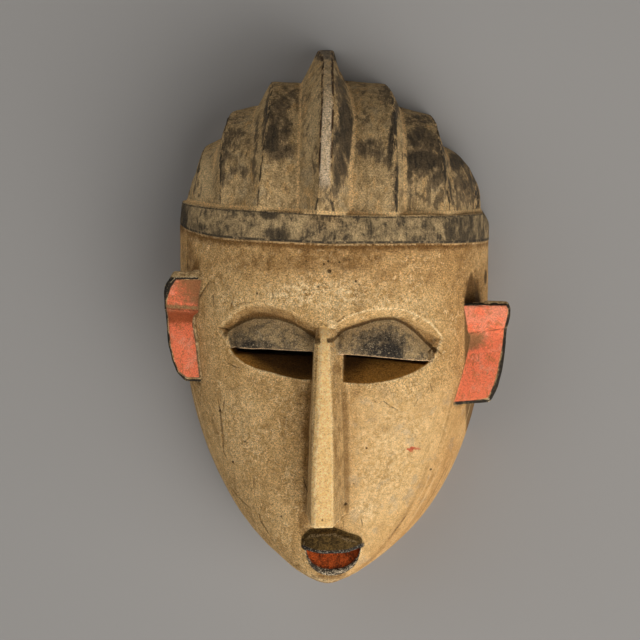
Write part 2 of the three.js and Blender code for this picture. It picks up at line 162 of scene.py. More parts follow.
# The coiffure is an arch from the band to the back. Each row is one edge of a plate: its x at
# five places on the way back (0 at the band, 1 at the back), the height and the rise of the arch.
ARCH_Y, ARCH_M = 76.0, 2.25
PLACES = (0.0, 0.15, 0.45, 0.75, 0.93)
COIFFURE = [
    ((-110, -110, -110, -109.6, -109), 14, 5), ((-104, -104, -104, -103.8, -103.7), 46, 22.5),
    ((-98.5, -98.6, -99, -99.4, -99.5), 62, 32), ((-92.7, -93, -94.7, -94.5, -94.4), 76, 46.4),
    ((-82.6, -82.2, -81, -80, -81.1), 89, 53), ((-74.5, -74.3, -75.7, -75, -73.4), 101, 72.4),
    ((-58.3, -54, -53.8, -55.1, -55.6), 107, 76), ((-46.7, -44.9, -41.4, -42.4, -46), 118, 93.4),
    ((-18.5, -18.6, -19, -21.5, -24.1), 116, 92), ((-2.1, -2, -1.8, -4.5, -11.5), 138, 116),
    ((4.6, 5.2, 5.1, 1.4, -1.1), 138, 116), ((18.1, 18, 20.0, 12.5, 5.0), 116, 94.2),
    ((49.5, 49.2, 48, 43.5, 37.5), 118, 91.4), ((55, 54.8, 53.9, 50, 44.5), 107, 75.5),
    ((86.6, 84.2, 80.2, 75.6, 71.0), 93, 68.6), ((90.5, 88.5, 84.5, 80, 76.6), 84, 47.5),
    ((97, 95.5, 92, 88, 83), 68, 44.5), ((101, 100, 98, 94, 90.1), 58, 40),
    ((104, 103.5, 102, 99, 94.9), 48, 34), ((106.5, 106.2, 105.5, 102.5, 99.7), 36, 26),
    ((108.5, 108.3, 107.5, 106, 104.1), 24, 17.5), ((110, 110, 109.5, 109, 108.5), 12, 4)]
FIN_LEFT, FIN_RIGHT = 9, 10  # the rows at the edges of the fin's narrow front

band_top = curve([(-112, 82), (-72, 79), (-24, 77), (7, 75.2), (51, 74.2), (112, 74.4)])
band_foot = curve([(-113, 66), (-97, 61.5), (-72, 58.2), (-24, 56.1), (7, 55), (51, 55), (113, 53.6)])
BAND_PROUD = 4.5

NOSE_FOOT = -136.0
nose_mid = curve([(-136, 0.0), (-90, -0.15), (-59, -0.35), (-18, -0.9), (8, -0.9)])
nose_half = curve([(-136, 7.6), (-90, 7.15), (-59, 6.45), (-18, 4.9), (-2, 4.3), (8, 4.0)])
nose_ridge = curve([(-136, 146), (-90, 142.5), (-59, 139.5), (-20, 132.6), (-11, 128.8), (-7, 126.0), (-4, 122.6), (-2, 119.5), (8, 114)])
nose_chamfer = curve([(-136, 0.5), (-110, 0.7), (-75, 2.2), (-50, 3.2), (-18, 3.2), (8, 2.2)])
nose_right = curve([(-136, 0.18), (-90, 0.23), (-59, 0.29), (-18, 0.48), (4, 0.55)])
nose_left = curve([(-136, 0.16), (-59, 0.14), (4, 0.10)])

# Eyes, over x: brow edge, top of the lid, lower edge of the lid, lower edge of the opening.
EYES = [
    dict(side=-1,
         brow=curve([(-6, -1.6), (-15.3, 3.7), (-23.7, 8.7), (-37, 12.6), (-47.7, 13.6), (-58.7, 10.4), (-67, 3.6), (-75, -4.8), (-79, -12)]),
         top=curve([(-7, -12), (-9.5, -10.5), (-18.9, -3.8), (-27, -0.8), (-36.5, 1.2), (-48, 1.2), (-54.6, -0.8), (-61, -3.8), (-67, -7.4), (-75, -13.5)]),
         low=curve([(-8, -20.0), (-29.5, -19.4), (-43, -19.1), (-62.8, -19.3), (-75, -20.0)]),
         opening=curve([(-8, -40.0), (-16, -39.8), (-27.2, -38.1), (-36.1, -35.6), (-47.6, -33.2), (-57.1, -29.5), (-61.7, -26.4), (-66.7, -21.4), (-75, -12)]),
         outer=((-75.2, -5.0), (-67.2, -22.0)), lid_end=((-69.4, -5.0), (-65.2, -20.0)), inner=-9.0, slit=4.6, gentle=1.45),
    dict(side=1,
         brow=curve([(5.6, -2.8), (14.4, 3.2), (25.1, 7.5), (35.6, 9.6), (46, 9.9), (53, 9.1), (61.6, 5.6), (72.2, -1.1), (77.3, -6.8), (82, -15), (84, -24)]),
         top=curve([(7.4, -12.4), (14, -6.6), (24.8, -3.1), (35.4, 0.2), (45.7, 1.0), (53.7, -2.3), (61.4, -8.2), (69.5, -16.9), (75, -22)]),
         low=curve([(8, -21.8), (14.3, -22.1), (35.6, -23.8), (51.3, -25.7), (66, -27.5), (78, -29)]),
         opening=curve([(9, -41.0), (15.5, -41.8), (24.9, -42.6), (35.5, -42.1), (45.8, -40.5), (53.8, -38.3), (61.6, -35.5), (67, -32.6), (72.5, -29.0), (80, -21)]),
         outer=((81.0, -12.0), (73.5, -29.5)), lid_end=((73.0, -12.0), (73.2, -29.0)), inner=13.6, slit=3.0, gentle=0.92),
]
SOCKET_DEPTH, LID_PROUD = 7.5, 1.5

MOUTH_X, MOUTH_HALF = 5.2, 18.8

# Ears: plates standing off the head. u runs outward along the plate, v up the mask, w out of the
# front. The profile gives the front's w over v: an upper panel leaning back to a fold, a hollow
# under the fold and a long lower panel.
EARS = [
    dict(side=-1, turn=0.0, front=80.0, top=33.0, foot=-46.0, fold=6.0, fold_tilt=0.06,
         shape=[(-16, -42), (4, -46.5), (15.5, -46.4), (21.2, -40.5), (24.4, -32), (27, -20), (28.4, -7),
                (29, 8), (28.9, 18), (27.8, 23.5), (23.8, 29), (22.0, 33.2), (2, 33.5), (-16, 31)],
         profile=[(38, 11), (33, 10.5), (9, 2.8), (6.5, 3.4), (4.5, 3.2), (1.5, -1.6), (-6, -3.4), (-18, -2.8), (-46, -7.0), (-52, -7.4)]),
    dict(side=1, turn=math.radians(8), front=71.5, top=13.0, foot=-62.0, fold=-11.0, fold_tilt=0.14,
         shape=[(-16, -67), (2.4, -62.5), (28, -60.8), (31, -55.4), (33.8, -49.8), (37, -39), (38.7, -28),
                (39.8, -18), (40.1, -8), (41.6, 1.5), (41.4, 7.5), (39.2, 11.8), (20, 12.8), (2, 13), (-16, 11)],
         profile=[(18, 8.5), (13, 8), (7, 6), (-11, -2.2), (-12.6, -4.4), (-18, -5.4), (-30, -4.4), (-50, -2.4), (-62, -1), (-70, -1)]),
]
EAR_ATTACH, EAR_THICKNESS = 88.0, 10.0
SLOTS = [(112.0, 25.0), (-112.0, 51.5)]

# Drying cracks and knife nicks on the face: half width, depth, then the points they run through.
CRACKS = [
    (0.55, 1.2, [(-78.3, -56.3), (-76.7, -66.7), (-76.3, -76.4), (-75.5, -85.3), (-75.8, -96.1), (-73.5, -100.2)]),
    (0.3, 0.6, [(-73.1, -57.4), (-75.1, -67.2)]), (0.35, 0.5, [(-51.9, -111.6), (-51.9, -119.8)]),
    (0.4, 0.5, [(-15.8, -107.3), (-14.1, -113.7), (-12.0, -119.3)]),
    (0.45, 0.8, [(-48.8, -137.9), (-47.7, -144.5), (-40.2, -156.0)]),
    (0.35, 0.5, [(-71.6, -124.5), (-63.3, -131.9), (-55.1, -136.5)]),
    (0.55, 0.9, [(-82.6, 26.7), (-86.8, 21.3), (-91.1, 14.6)]), (0.35, 0.5, [(-79.8, 18.2), (-79.6, 9.2)]),
    (0.35, 0.4, [(-65.0, 14.0), (-66.9, 8.3)]), (0.3, 0.4, [(-36.2, 23.3), (-35.4, 17.7)]),
    (0.3, 0.4, [(-40.4, 30.8), (-39.9, 27.4)]),
    (0.2, 0.35, [(-65.5, 9.0), (-60.8, 12.0), (-55.5, 13.6), (-50.5, 14.0)]),
    (0.5, 0.9, [(-76.0, -5.4), (-71.7, -5.8), (-68.6, -7.0)]),
    (0.3, 0.35, [(40.3, -54.7), (45.1, -58.4), (51.1, -62.2)]), (0.25, 0.3, [(61.4, -60.2), (64.3, -54.6)]),
    (0.25, 0.3, [(72.5, -43.9), (74.6, -50.6)]), (0.45, 0.8, [(56.5, -139.6), (49.9, -148.8), (43.3, -157.5)]),
    (0.3, 0.4, [(24.9, -138.0), (25.9, -143.9)]), (0.4, 0.5, [(-70.0, -29.6), (-65.4, -32.1), (-60.2, -33.2)]),
    (0.45, 0.7, [(9.0, 1.0), (14.2, 5.4)]), (0.5, 0.8, [(-101.5, 58.0), (-102.0, 40.0), (-101.0, 30.0)]),
    (0.5, 0.9, [(74.3, -18.7), (77.5, -20.4), (81.0, -23.6)]), (0.55, 0.9, [(71.0, -22.4), (74.5, -18.8)]),
    (0.5, 0.8, [(74.7, -20.5), (74.9, -26.2)]),
]
# Dark specks: x, y, radius.
SPECKS = [(-68.0, -102.8, 1.0), (-57.5, -86.1, 0.9), (-4.0, 25.4, 0.9), (3.7, 36.0, 1.55), (-0.1, 41.0, 1.0),
          (2.9, 42.8, 1.0), (28.8, -88.0, 0.8), (73.0, -108.2, 0.9), (35.0, -55.2, 0.7), (14.3, -127.5, 1.1),
          (20.0, -113.3, 0.6), (-76.8, -66.0, 1.2), (-46.9, 20.0, 0.9), (-31.5, -138.0, 0.9), (0.5, -133.0, 0.8),
          (-12.5, 43.0, 0.7), (21.8, 29.0, 1.0), (-52.0, 33.0, 0.7), (-26.0, 44.0, 0.6), (51.0, 22.0, 0.6),
          (10.5, 42.2, 0.9), (24.2, 26.8, 0.8), (-7.0, 23.2, 0.6)]

# ------------------------------------------------------------------ the grid
LO = np.array([-127.0, -196.0, -4.0])
HI = np.array([134.0, 198.0, 151.0])
COUNT = np.ceil((HI - LO) / PITCH).astype(int) + 1
GX, GY, GZ = [(LO[k] + PITCH * np.arange(COUNT[k])).astype(f32) for k in range(3)]


def window(x0, x1, y0, y1, z0, z1):
    """Slices of the grid inside a box, with coordinates that broadcast over it."""
    out = []
    for g, a, b in ((GX, x0, x1), (GY, y0, y1), (GZ, z0, z1)):
        out.append(slice(int(np.searchsorted(g, a)), int(np.searchsorted(g, b))))
    s = tuple(out)
    return s, GX[s[0]][:, None, None], GY[s[1]][None, :, None], GZ[s[2]][None, None, :]


def half_width(y):
    t = np.clip((WIDEST_Y - y) / (WIDEST_Y - CHIN_Y), 0, 1)
    return HALF_WIDTH * np.maximum(1 - t ** OUTLINE_P, 1e-6) ** OUTLINE_Q - 3 * step(60, 95, y)


def head_distance(x, y, z):
    """Distance outside the plain head, along the ray from its axis."""
    ys = y - CHIN_TUCK * np.maximum(0, 1 - z / 80) * step(-150, CHIN_Y, y)
    w = half_width(ys).astype(f32)
    h = midline(ys)
    n = squareness(ys)
    zz = np.maximum(z, 0)
    q = np.exp(n * (np.log(np.abs(x) + 1e-3) - np.log(w))) + (zz / h) ** n
    rho = np.sqrt(x * x + zz * zz)
    d = rho * (1 - np.exp(-np.log(np.maximum(q, 1e-9)) / n))
    past = CHIN_Y - ys  # beyond the chin
    return np.where(past > 0, np.maximum(d, past), d).astype(f32)


def hollow_distance(x, y, z):
    length = HOLLOW_TOP_Y - HOLLOW_CHIN_Y
    up = step(40, HOLLOW_TOP_Y, y)
    yc = np.minimum(y, 60)
    side = half_width(yc) - WALL_SIDE
    dome = np.sqrt(np.maximum(1 - (np.maximum(y - 48, 0) / (HOLLOW_TOP_Y - 48)) ** 2.3, 1e-4))
    chin = np.sqrt(np.maximum(1 - (np.maximum(-120 - y, 0) / (-120 - HOLLOW_CHIN_Y)) ** 2.2, 1e-4))
    w = np.maximum(side * (1 - up + up * dome) * dome * (0.35 + 0.65 * chin), 1.0)
    h = np.maximum((midline(yc) - WALL_FRONT) * dome ** 0.9 * chin, 1.0)
    n = 2.25
    zz = np.maximum(z, 0)
    q = (np.abs(x) / w) ** n + (zz / h) ** n
    rho = np.sqrt(x * x + zz * zz) + 1e-3
    d = rho * (1 - np.maximum(q, 1e-9) ** (-1 / n))
    return np.maximum(d, np.maximum(HOLLOW_CHIN_Y - y, y - HOLLOW_TOP_Y)).astype(f32)


def way_back(x, y, z):
    """Where a point lies on the coiffure's arch: 0 at the band, 1 at the back."""
    ax = np.abs(x)
    env_rise = np.interp(ax, [0, 20, 45, 62, 80, 95, 105, 111], [93, 92, 86, 74, 58, 42, 26, 6]).astype(f32)
    env_high = np.interp(ax, [0, 20, 45, 62, 80, 95, 105, 111], [117, 116, 114, 106, 94, 73, 44, 14]).astype(f32)
    yy, zz = np.maximum(y - ARCH_Y, 0), np.maximum(z, 0)
    phi = np.arctan2((yy / env_rise) ** (ARCH_M / 2), (zz / env_high) ** (ARCH_M / 2) + 1e-4)
    return (phi / (math.pi / 2)).astype(f32)


def coiffure_distance(x, y, z):
    m = ARCH_M
    phi = way_back(x, y, z)
    level = np.minimum((phi * 511 + 0.5).astype(np.int16), 511)
    steps = np.linspace(0, 1, 512)
    high = np.full(phi.shape, COIFFURE[0][1], f32)
    rise = np.full(phi.shape, COIFFURE[0][2], f32)
    xa = np.interp(steps, PLACES, COIFFURE[0][0]).astype(f32)[level]
    for a, b in zip(COIFFURE[:-1], COIFFURE[1:]):
        xb = np.interp(steps, PLACES, b[0]).astype(f32)[level]
        u = np.clip((x - xa) / (xb - xa), 0, 1)
        high += (b[1] - a[1]) * u
        rise += (b[2] - a[2]) * u
        xa = xb
    yy, zz = np.maximum(y - ARCH_Y, 0), np.maximum(z, 0)
    q = (yy / rise) ** m + (zz / high) ** m
    rho = np.sqrt(yy * yy + zz * zz) + 1e-3
    d = rho * (1 - np.maximum(q, 1e-9) ** (-1 / m))
    # bevel at the foot of the fin
    foot = (z - (133.5 + (y - 76.0) * 0.238)) * 0.973
    foot = np.where((np.abs(x) < 30) & (y < 110), foot, -9)
    d = np.maximum(d, foot)
    return np.maximum(d, np.abs(x) - 111.5).astype(f32)


def across(curve_, x, y):
    """Signed distance above a curve y = curve(x), corrected for its slope."""
    c = curve_(x)
    slope = (curve_(x + 0.5) - curve_(x - 0.5))
    return (y - c) / np.sqrt(1 + slope * slope)


def beside(line, x, y, side):
    """Distance inside a line that closes an eye at its outer end."""
    (x0, y0), (x1, y1) = line
    dx, dy = x1 - x0, y1 - y0
    n = math.hypot(dx, dy)
    d = ((x - x0) * dy - (y - y0) * dx) / n
    inside = ((0 - x0) * dy - (-15 - y0) * dx) / n
    return d if inside > 0 else -d


def polygon_distance(points, u, v):
    """Signed distance to a closed outline in the u, v plane."""
    best, inside = None, None
    n = len(points)
    for i in range(n):
        ax, ay = points[i]
        bx, by = points[(i + 1) % n]
        ex, ey = bx - ax, by - ay
        wx, wy = u - ax, v - ay
        t = np.clip((wx * ex + wy * ey) / (ex * ex + ey * ey), 0, 1)
        d2 = (wx - ex * t) ** 2 + (wy - ey * t) ** 2
        best = d2 if best is None else np.minimum(best, d2)
        c = ((ay <= v) & (by > v)) | ((ay > v) & (by <= v))
        xs = ax + (v - ay) * (ex / ey if abs(ey) > 1e-9 else 0)
        flip = c & (u < xs)
        inside = flip if inside is None else inside ^ flip
    d = np.sqrt(best)
    return np.where(inside, -d, d)


def ear_fields(e, x, y, z):
    c, s = math.cos(e["turn"]), math.sin(e["turn"])
    xx = x * e["side"]
    u = (xx - EAR_ATTACH) * c - (z - e["front"]) * s
    w = (xx - EAR_ATTACH) * s + (z - e["front"]) * c
    v = y + 0 * u
    outline = polygon_distance(e["shape"], u, v)
    near_fold = np.exp(-((v - e["fold"]) / 16.0) ** 2)
    lean = e["fold_tilt"] * (u - 12) * near_fold
    vs = np.array([p[0] for p in e["profile"]][::-1], float)
    ws = np.array([p[1] for p in e["profile"]][::-1], float)
    front = np.interp(v - lean, vs, ws).astype(f32)
    # the hollow under the fold is deepest beside the head
    under = np.clip((e["fold"] - (v - lean)) / 4.0, 0, 1) * np.exp(-np.maximum(e["fold"] - v, 0) / 9.0)
    front = front - 3.0 * under * (1 - step(4, 22, u))
    return u, v, w, outline, front, v - lean - e["fold"]


def ear_distance(e, x, y, z):
    u, v, w, outline, front, past = ear_fields(e, x, y, z)
    face = (w - front) * 0.92
    bevel = 2.4 + 2.0 * step(e["top"] - 8, e["top"], v)
    d = np.maximum(np.maximum(outline, face), (outline + face + bevel) * 0.7071)
    return np.maximum(d, front - EAR_THICKNESS - w).astype(f32)


def mouth_curves(x):
    s = np.clip((x - MOUTH_X) / MOUTH_HALF, -1.25, 1.25)
    a = np.abs(s)
    upper = -162.9 + 2.6 * a ** 3.0 + 0.5 * s
    lower = -174.6 + 9.2 * a ** 2.6 + 4.0 * a ** 12 + 0.5 * s
    lip = 2.4 + 2.5 * np.maximum(1 - s * s, 0) ** 0.5
    return s, upper, lower, lip


def pad_top(x):
    return np.interp(x, [-17.5, -15, -10.5, 4, 7, 11, 15.5, 20, 24, 25.5], [-154, -150.0, -146.0, -144.8, -145.0, -146.6, -148.7, -150.2, -151.8, -154]).astype(f32)


def band_proud(x):
    return 0.4 + (BAND_PROUD - 0.4) * (1 - step(80, 108, np.abs(x)))


def crack_fields(x, y):
    """Signed distance across the nearest crack, its half width there and its depth."""
    s = np.full(x.shape, 9.0, f32)
    w = np.full(x.shape, -9.0, f32)
    deep = np.zeros(x.shape, f32)
    for width, depth, line in CRACKS:
        pts = np.array(line, float)
        lens = np.hypot(*(pts[1:] - pts[:-1]).T)
        total, done = lens.sum(), 0.0
        lo, hi = pts.min(0) - 5, pts.max(0) + 5
        near = np.flatnonzero((x > lo[0]) & (x < hi[0]) & (y > lo[1]) & (y < hi[1]))
        if not len(near):
            continue
        px, py = x[near], y[near]
        best = np.full(len(near), 99.0)
        bs, bw = best.copy(), best.copy()
        for i in range(len(lens)):
            (ax, ay), (bx, by), n = pts[i], pts[i + 1], lens[i]
            ex, ey = (bx - ax) / n, (by - ay) / n
            raw = (px - ax) * ex + (py - ay) * ey
            t = np.clip(raw, 0, n)
            dx, dy = px - ax - ex * t, py - ay - ey * t
            dist = np.hypot(dx, dy)
            side = np.where(ex * dy - ey * dx < 0, -dist, dist)
            place = np.clip((done + t) / total, 0, 1)
            here = width * np.maximum(np.sin(math.pi * (0.04 + 0.92 * place)), 0) ** 0.6
            over = np.zeros(len(near))
            if i == 0:
                over = np.maximum(over, -raw)
            if i == len(lens) - 1:
                over = np.maximum(over, raw - n)
            here = np.where(over > 0, -over, here)
            hit = dist < best
            best, bs, bw = np.where(hit, dist, best), np.where(hit, side, bs), np.where(hit, here, bw)
            done += n
        better = best - bw < np.abs(s[near]) - w[near]
        k = near[better]
        s[k], w[k], deep[k] = bs[better], bw[better], depth
    return s, w, deep


def build_field():
    D = np.empty(COUNT, f32)
    HD = np.empty(COUNT, f32)
    X, Y, Z = GX[:, None, None], GY[None, :, None], GZ[None, None, :]
    block = 40
    for i in range(0, COUNT[0], block):
        HD[i:i + block] = head_distance(X[i:i + block], Y, Z)
    np.maximum(HD, Y - band_top(X[:, :, 0])[:, :, None] + 0.6, out=D)
    note("head")

    s, x, y, z = window(-126, 126, 64, 199, -5, 145)
    coif = np.maximum(coiffure_distance(x, y, z), band_top(x) - 0.4 - y)
    D[s] = smin(D[s], coif, 0.6)
    note("coiffure")

    s, x, y, z = window(-127, 128, 46, 92, -5, 140)
    t = HD[s]
    wob = 0.5 * np.sin(x / 23.0) + 0.3 * np.sin(x / 9.0 + 1)
    a = np.maximum(t - band_proud(x) - 0.25 * np.sin(x / 7.0 + 2), -(t + 9))
    b = np.maximum(band_foot(x) + wob * 0.6 - y, y - band_top(x) - wob * 0.6)
    band = np.maximum(smax(a, b, 1.0), y - 90)
    D[s] = smin(D[s], band, 0.6)
    # the right end is pared down at its upper corner
    s, x, y, z = window(96, 128, 56, 92, -5, 80)
    D[s] = smax(D[s], (x - 113.4) * 0.87 + (np.minimum(y, 77.0) - 66.5) * 0.5, 0.8)
    note("band")

    # eyes
    for e in EYES:
        x0, x1 = (-86, -2) if e["side"] < 0 else (2, 90)
        s, x, y, z = window(x0, x1, -54, 26, 52, 132)
        t, d = HD[s], D[s]
        a = -across(e["brow"], x, y)
        a2 = beside(e["outer"], x, y, e["side"])
        a = np.minimum(a, a2 * 1.3)
        b = across(e["opening"], x, y)
        wall = 8.6
        floor = np.where(a < 0, -a * 1.3, -SOCKET_DEPTH * np.clip(a / wall, 0, 1) ** e["gentle"])
        floor = np.maximum(floor, -1.25 * b)
        d = np.maximum(d, (t - floor) * 0.74)
        low, top = e["low"](x), e["top"](x)
        # lid, bulging from the back of the socket to a proud lower edge
        end = beside(e["lid_end"], x, y, e["side"])
        k = np.clip((top - low) / 9.0, 0.35, 1.0)
        r = np.clip((top - y) / np.maximum(top - low, 2.0), 0, 1)
        lid_t = -SOCKET_DEPTH + (SOCKET_DEPTH + LID_PROUD * k) * np.sin(math.pi / 2 * r) ** 0.85
        lid_t = lid_t - 1.1 * (1 - np.clip((y - low) / 1.5, 0, 1)) ** 2
        lid_t = -SOCKET_DEPTH + (lid_t + SOCKET_DEPTH) * step(-1.0, 5.0, end)
        lid = np.maximum(np.maximum((t - lid_t) * 0.8, low - y), np.maximum(y - top - 4, -t - 16))
        lid = np.maximum(lid, -end - 1.0)
        # opening under the lid: a slope up from the cheek and a slit through the wall
        under = low + 0.45 * np.maximum(0, -4.5 - t)
        inner = (x - e["inner"]) if e["side"] < 0 else (e["inner"] - x)
        slope = np.maximum((-1.25 * b - t) * 0.62, y - under)
        bottom = np.maximum(low - e["slit"], e["opening"](x) + 0.6)
        through = np.maximum(bottom - y, y - under)
        cut = np.maximum(np.minimum(slope, np.maximum(through, -(b - 0.6))), inner)
        cut = np.maximum(cut, -a2 + 1.0)
        d = np.minimum(d, lid)
        d = np.maximum(d, -cut)
        D[s] = d
    note("eyes")

    # nose
    s, x, y, z = window(-22, 26, -146, 14, 84, 150)
    half, ridge, mid = nose_half(y), nose_ridge(y), nose_mid(y)
    right = (x - (mid + half + (ridge - z) * nose_right(y)))
    left = ((mid - half - (ridge - z) * nose_left(y)) - x)
    right = right / np.sqrt(1 + nose_right(y) ** 2)
    front = (z - ridge + 0.22 * (x - mid - 3)) * 0.98
    chamfer = (z - ridge) * 0.80 + (mid - half + nose_chamfer(y) - x) * 0.60
    sides = smax(right, left, 0.3)
    nose = smax(sides, smax(front, chamfer, 0.3), 0.4)
    nose = smax(nose, NOSE_FOOT - y - 0.10 * (z - 120), 0.5)
    nose = np.maximum(nose, -5.0 - HD[s])
    D[s] = smin(D[s], nose, 1.4)
    note("nose")

    # mouth
    s, x, y, z = window(-26, 36, -190, -138, 70, 122)
    t, d = HD[s], D[s]
    u, up, lo, lip = mouth_curves(x)
    top = pad_top(x)
    pad_t = 4.0 * step(0, 4.5, top - y) - 0.40 * np.maximum(np.abs(x - 4.2) - 11.5, 0)
    pad = np.maximum(np.maximum((t - pad_t) * 0.85, up - y), np.maximum(y - top - 0.6, np.abs(x - 4.2) - 21.0))
    d = smin(d, np.maximum(pad, -t - 8), 0.5)
    below = lo - y  # positive under the lower edge of the opening
    ring_t = 2.8 * np.maximum(np.sin(math.pi * np.clip(below / lip, 0, 1)), 0) ** 0.7
    ring = np.maximum(np.maximum((t - ring_t) * 0.75, -below), np.maximum(below - lip, -t - 8))
    ring = np.maximum(ring, np.abs(x - MOUTH_X) - MOUTH_HALF - 2.0)
    d = smin(d, ring, 0.5)
    floor = -1.6 - 0.75 * np.clip(y - lo, 0, 12)
    hole = np.maximum(np.maximum(y - up, lo - y), (np.maximum(floor, -9.0) - t) * 0.8)
    hole = np.maximum(hole, np.abs(x - MOUTH_X) - MOUTH_HALF)
    D[s] = smax(d, -hole, 0.6)
    note("mouth")

    # ears
    for e in EARS:
        x0, x1 = (-127, -76) if e["side"] < 0 else (76, 134)
        s, x, y, z = window(x0, x1, e["foot"] - 8, e["top"] + 6, 44, 96)
        D[s] = smin(D[s], ear_distance(e, x, y, z), 1.0)
    # a tapering gouge down the side of the head to the top of the right ear
    s, x, y, z = window(88, 124, 8, 44, 40, 96)
    t = np.clip((38.0 - y) / 26.0, 0, 1)
    off = (x - 101.5) * 0.78 + (z - 69.0) * 0.62  # out of the surface
    along = (z - 69.0) * 0.78 - (x - 101.5) * 0.62  # round the head
    gouge = np.sqrt((off - 1.5) ** 2 * 1.7 + along ** 2) - 9.0 * t ** 0.8
    D[s] = smax(D[s], -np.maximum(gouge, np.maximum(11.0 - y, y - 38.0)), 1.0)
    note("ears")

    # hollow, lacing slots and the flat rim
    for i in range(0, COUNT[0], block):
        D[i:i + block] = smax(D[i:i + block], -hollow_distance(X[i:i + block], Y, Z), 2.0)
    for sx, sy in SLOTS:
        s, x, y, z = window(sx - 22, sx + 22, sy - 10, sy + 10, 24, 42)
        slot = np.maximum(np.abs(y - sy) - 4.0, np.abs(z - 33) - 2.0)
        D[s] = smax(D[s], -slot, 1.2)
    D = smax(D, -Z + 0 * D, 1.2)
    note("hollow")
    return D, HD


def box_blur(A, r):
    """Mean over a cube of side 2 r + 1 cells, along each axis in turn."""
    for axis in range(3):
        n = A.shape[axis]
        pad = [(0, 0)] * 3
        pad[axis] = (r + 1, r)
        c = np.cumsum(np.pad(A, pad, mode="edge"), axis=axis, dtype=f32)
        hi = [slice(None)] * 3
        lo = [slice(None)] * 3
        hi[axis] = slice(2 * r + 1, 2 * r + 1 + n)
        lo[axis] = slice(0, n)
        A = (c[tuple(hi)] - c[tuple(lo)]) / (2 * r + 1)
    return A


def sample(A, p):
    """Trilinear value of a grid at points."""
    q = (p - LO) / PITCH
    q = np.clip(q, 0, np.array(A.shape) - 1.001)
    i = np.floor(q).astype(np.int64)
    t = (q - i).astype(f32)
    out = 0
    for a in (0, 1):
        for b in (0, 1):
            for c in (0, 1):
                w = (t[:, 0] if a else 1 - t[:, 0]) * (t[:, 1] if b else 1 - t[:, 1]) * (t[:, 2] if c else 1 - t[:, 2])
                out = out + A[i[:, 0] + a, i[:, 1] + b, i[:, 2] + c] * w
    return out


def surface(D):
    """Closed quad mesh of the zero level: one vertex in each crossed cell."""
    inside = D < 0
    nx, ny, nz = D.shape
    c = np.zeros((nx - 1, ny - 1, nz - 1), np.uint8)
    for a in (0, 1):
        for b in (0, 1):
            for g in (0, 1):
                c += inside[a:nx - 1 + a, b:ny - 1 + b, g:nz - 1 + g]
    cells = np.flatnonzero((c > 0) & (c < 8))
    ids = np.full(c.size, -1, np.int32)
    ids[cells] = np.arange(len(cells), dtype=np.int32)
    ci, cj, ck = np.unravel_index(cells, c.shape)
    corner = {}
    for a in (0, 1):
        for b in (0, 1):
            for g in (0, 1):
                corner[a, b, g] = D[ci + a, cj + b, ck + g]
    pos = np.zeros((len(cells), 3), f32)
    num = np.zeros(len(cells), f32)
    for axis in range(3):
        for o in ((0, 0), (0, 1), (1, 0), (1, 1)):
            a = list(o)
            a.insert(axis, 0)
            b = list(o)
            b.insert(axis, 1)
            va, vb = corner[tuple(a)], corner[tuple(b)]
            m = (va < 0) != (vb < 0)
            t = np.where(m, va / np.where(m, va - vb, 1), 0).astype(f32)
            add = np.tile(np.array(a, f32), (len(cells), 1))
            add[:, axis] += t
            pos += add * m[:, None]
            num += m
    pos /= num[:, None]
    verts = LO.astype(f32) + PITCH * (pos + np.stack([ci, cj, ck], 1).astype(f32))
    quads = []
    shape = c.shape
    for axis in range(3):
        lo = [slice(1, -1)] * 3
        hi = [slice(1, -1)] * 3
        lo[axis] = slice(0, -1)
        hi[axis] = slice(1, None)
        a, b = inside[tuple(lo)], inside[tuple(hi)]
        edge = np.argwhere(a != b)
        start = np.array([1, 1, 1])
        start[axis] = 0
        p = edge + start
        out = a[tuple(edge.T)]
        u, v = [k for k in range(3) if k != axis]
        ring = []
        for du, dv in ((-1, -1), (0, -1), (0, 0), (-1, 0)):
            q = p.copy()
            q[:, u] += du
            q[:, v] += dv
            ring.append(ids[np.ravel_multi_index(q.T, shape)])
        quad = np.stack(ring, 1)
        if axis == 1:
            out = ~out
        quad[~out] = quad[~out][:, ::-1]
        quads.append(quad)
    return verts, np.concatenate(quads)


def make_mesh(name, verts, faces):
    me = bpy.data.meshes.new(name)
    n = faces.shape[1]
    me.vertices.add(len(verts))
    me.vertices.foreach_set("co", np.ascontiguousarray(verts, f32).ravel())
    me.loops.add(faces.size)
    me.loops.foreach_set("vertex_index", np.ascontiguousarray(faces, np.int32).ravel())
    me.polygons.add(len(faces))
    me.polygons.foreach_set("loop_start", np.arange(0, faces.size, n, dtype=np.int32))
    me.update(calc_edges=True)
    me.validate()
    return me


def vertex_array(me, what="co"):
    a = np.empty(len(me.vertices) * 3, f32)
    (me.vertices if what == "co" else me.vertex_normals).foreach_get("co" if what == "co" else "vector", a)
    return a.reshape(-1, 3)


def rim_lines(p, seed):
    """Long grain lines that follow the outline of the face."""
    x, y, z = p.T
    inward = half_width(np.clip(y, CHIN_Y + 3, 80)) - np.abs(x)
    q = np.stack([inward + 0.55 * z, y * 0.05, x * 0.06], 1).astype(f32)
    return noise(q, 2.6, seed)


def outside_share(p):
    return step(0.5, 3.0, hollow_distance(p[:, 0], p[:, 1], p[:, 2]))


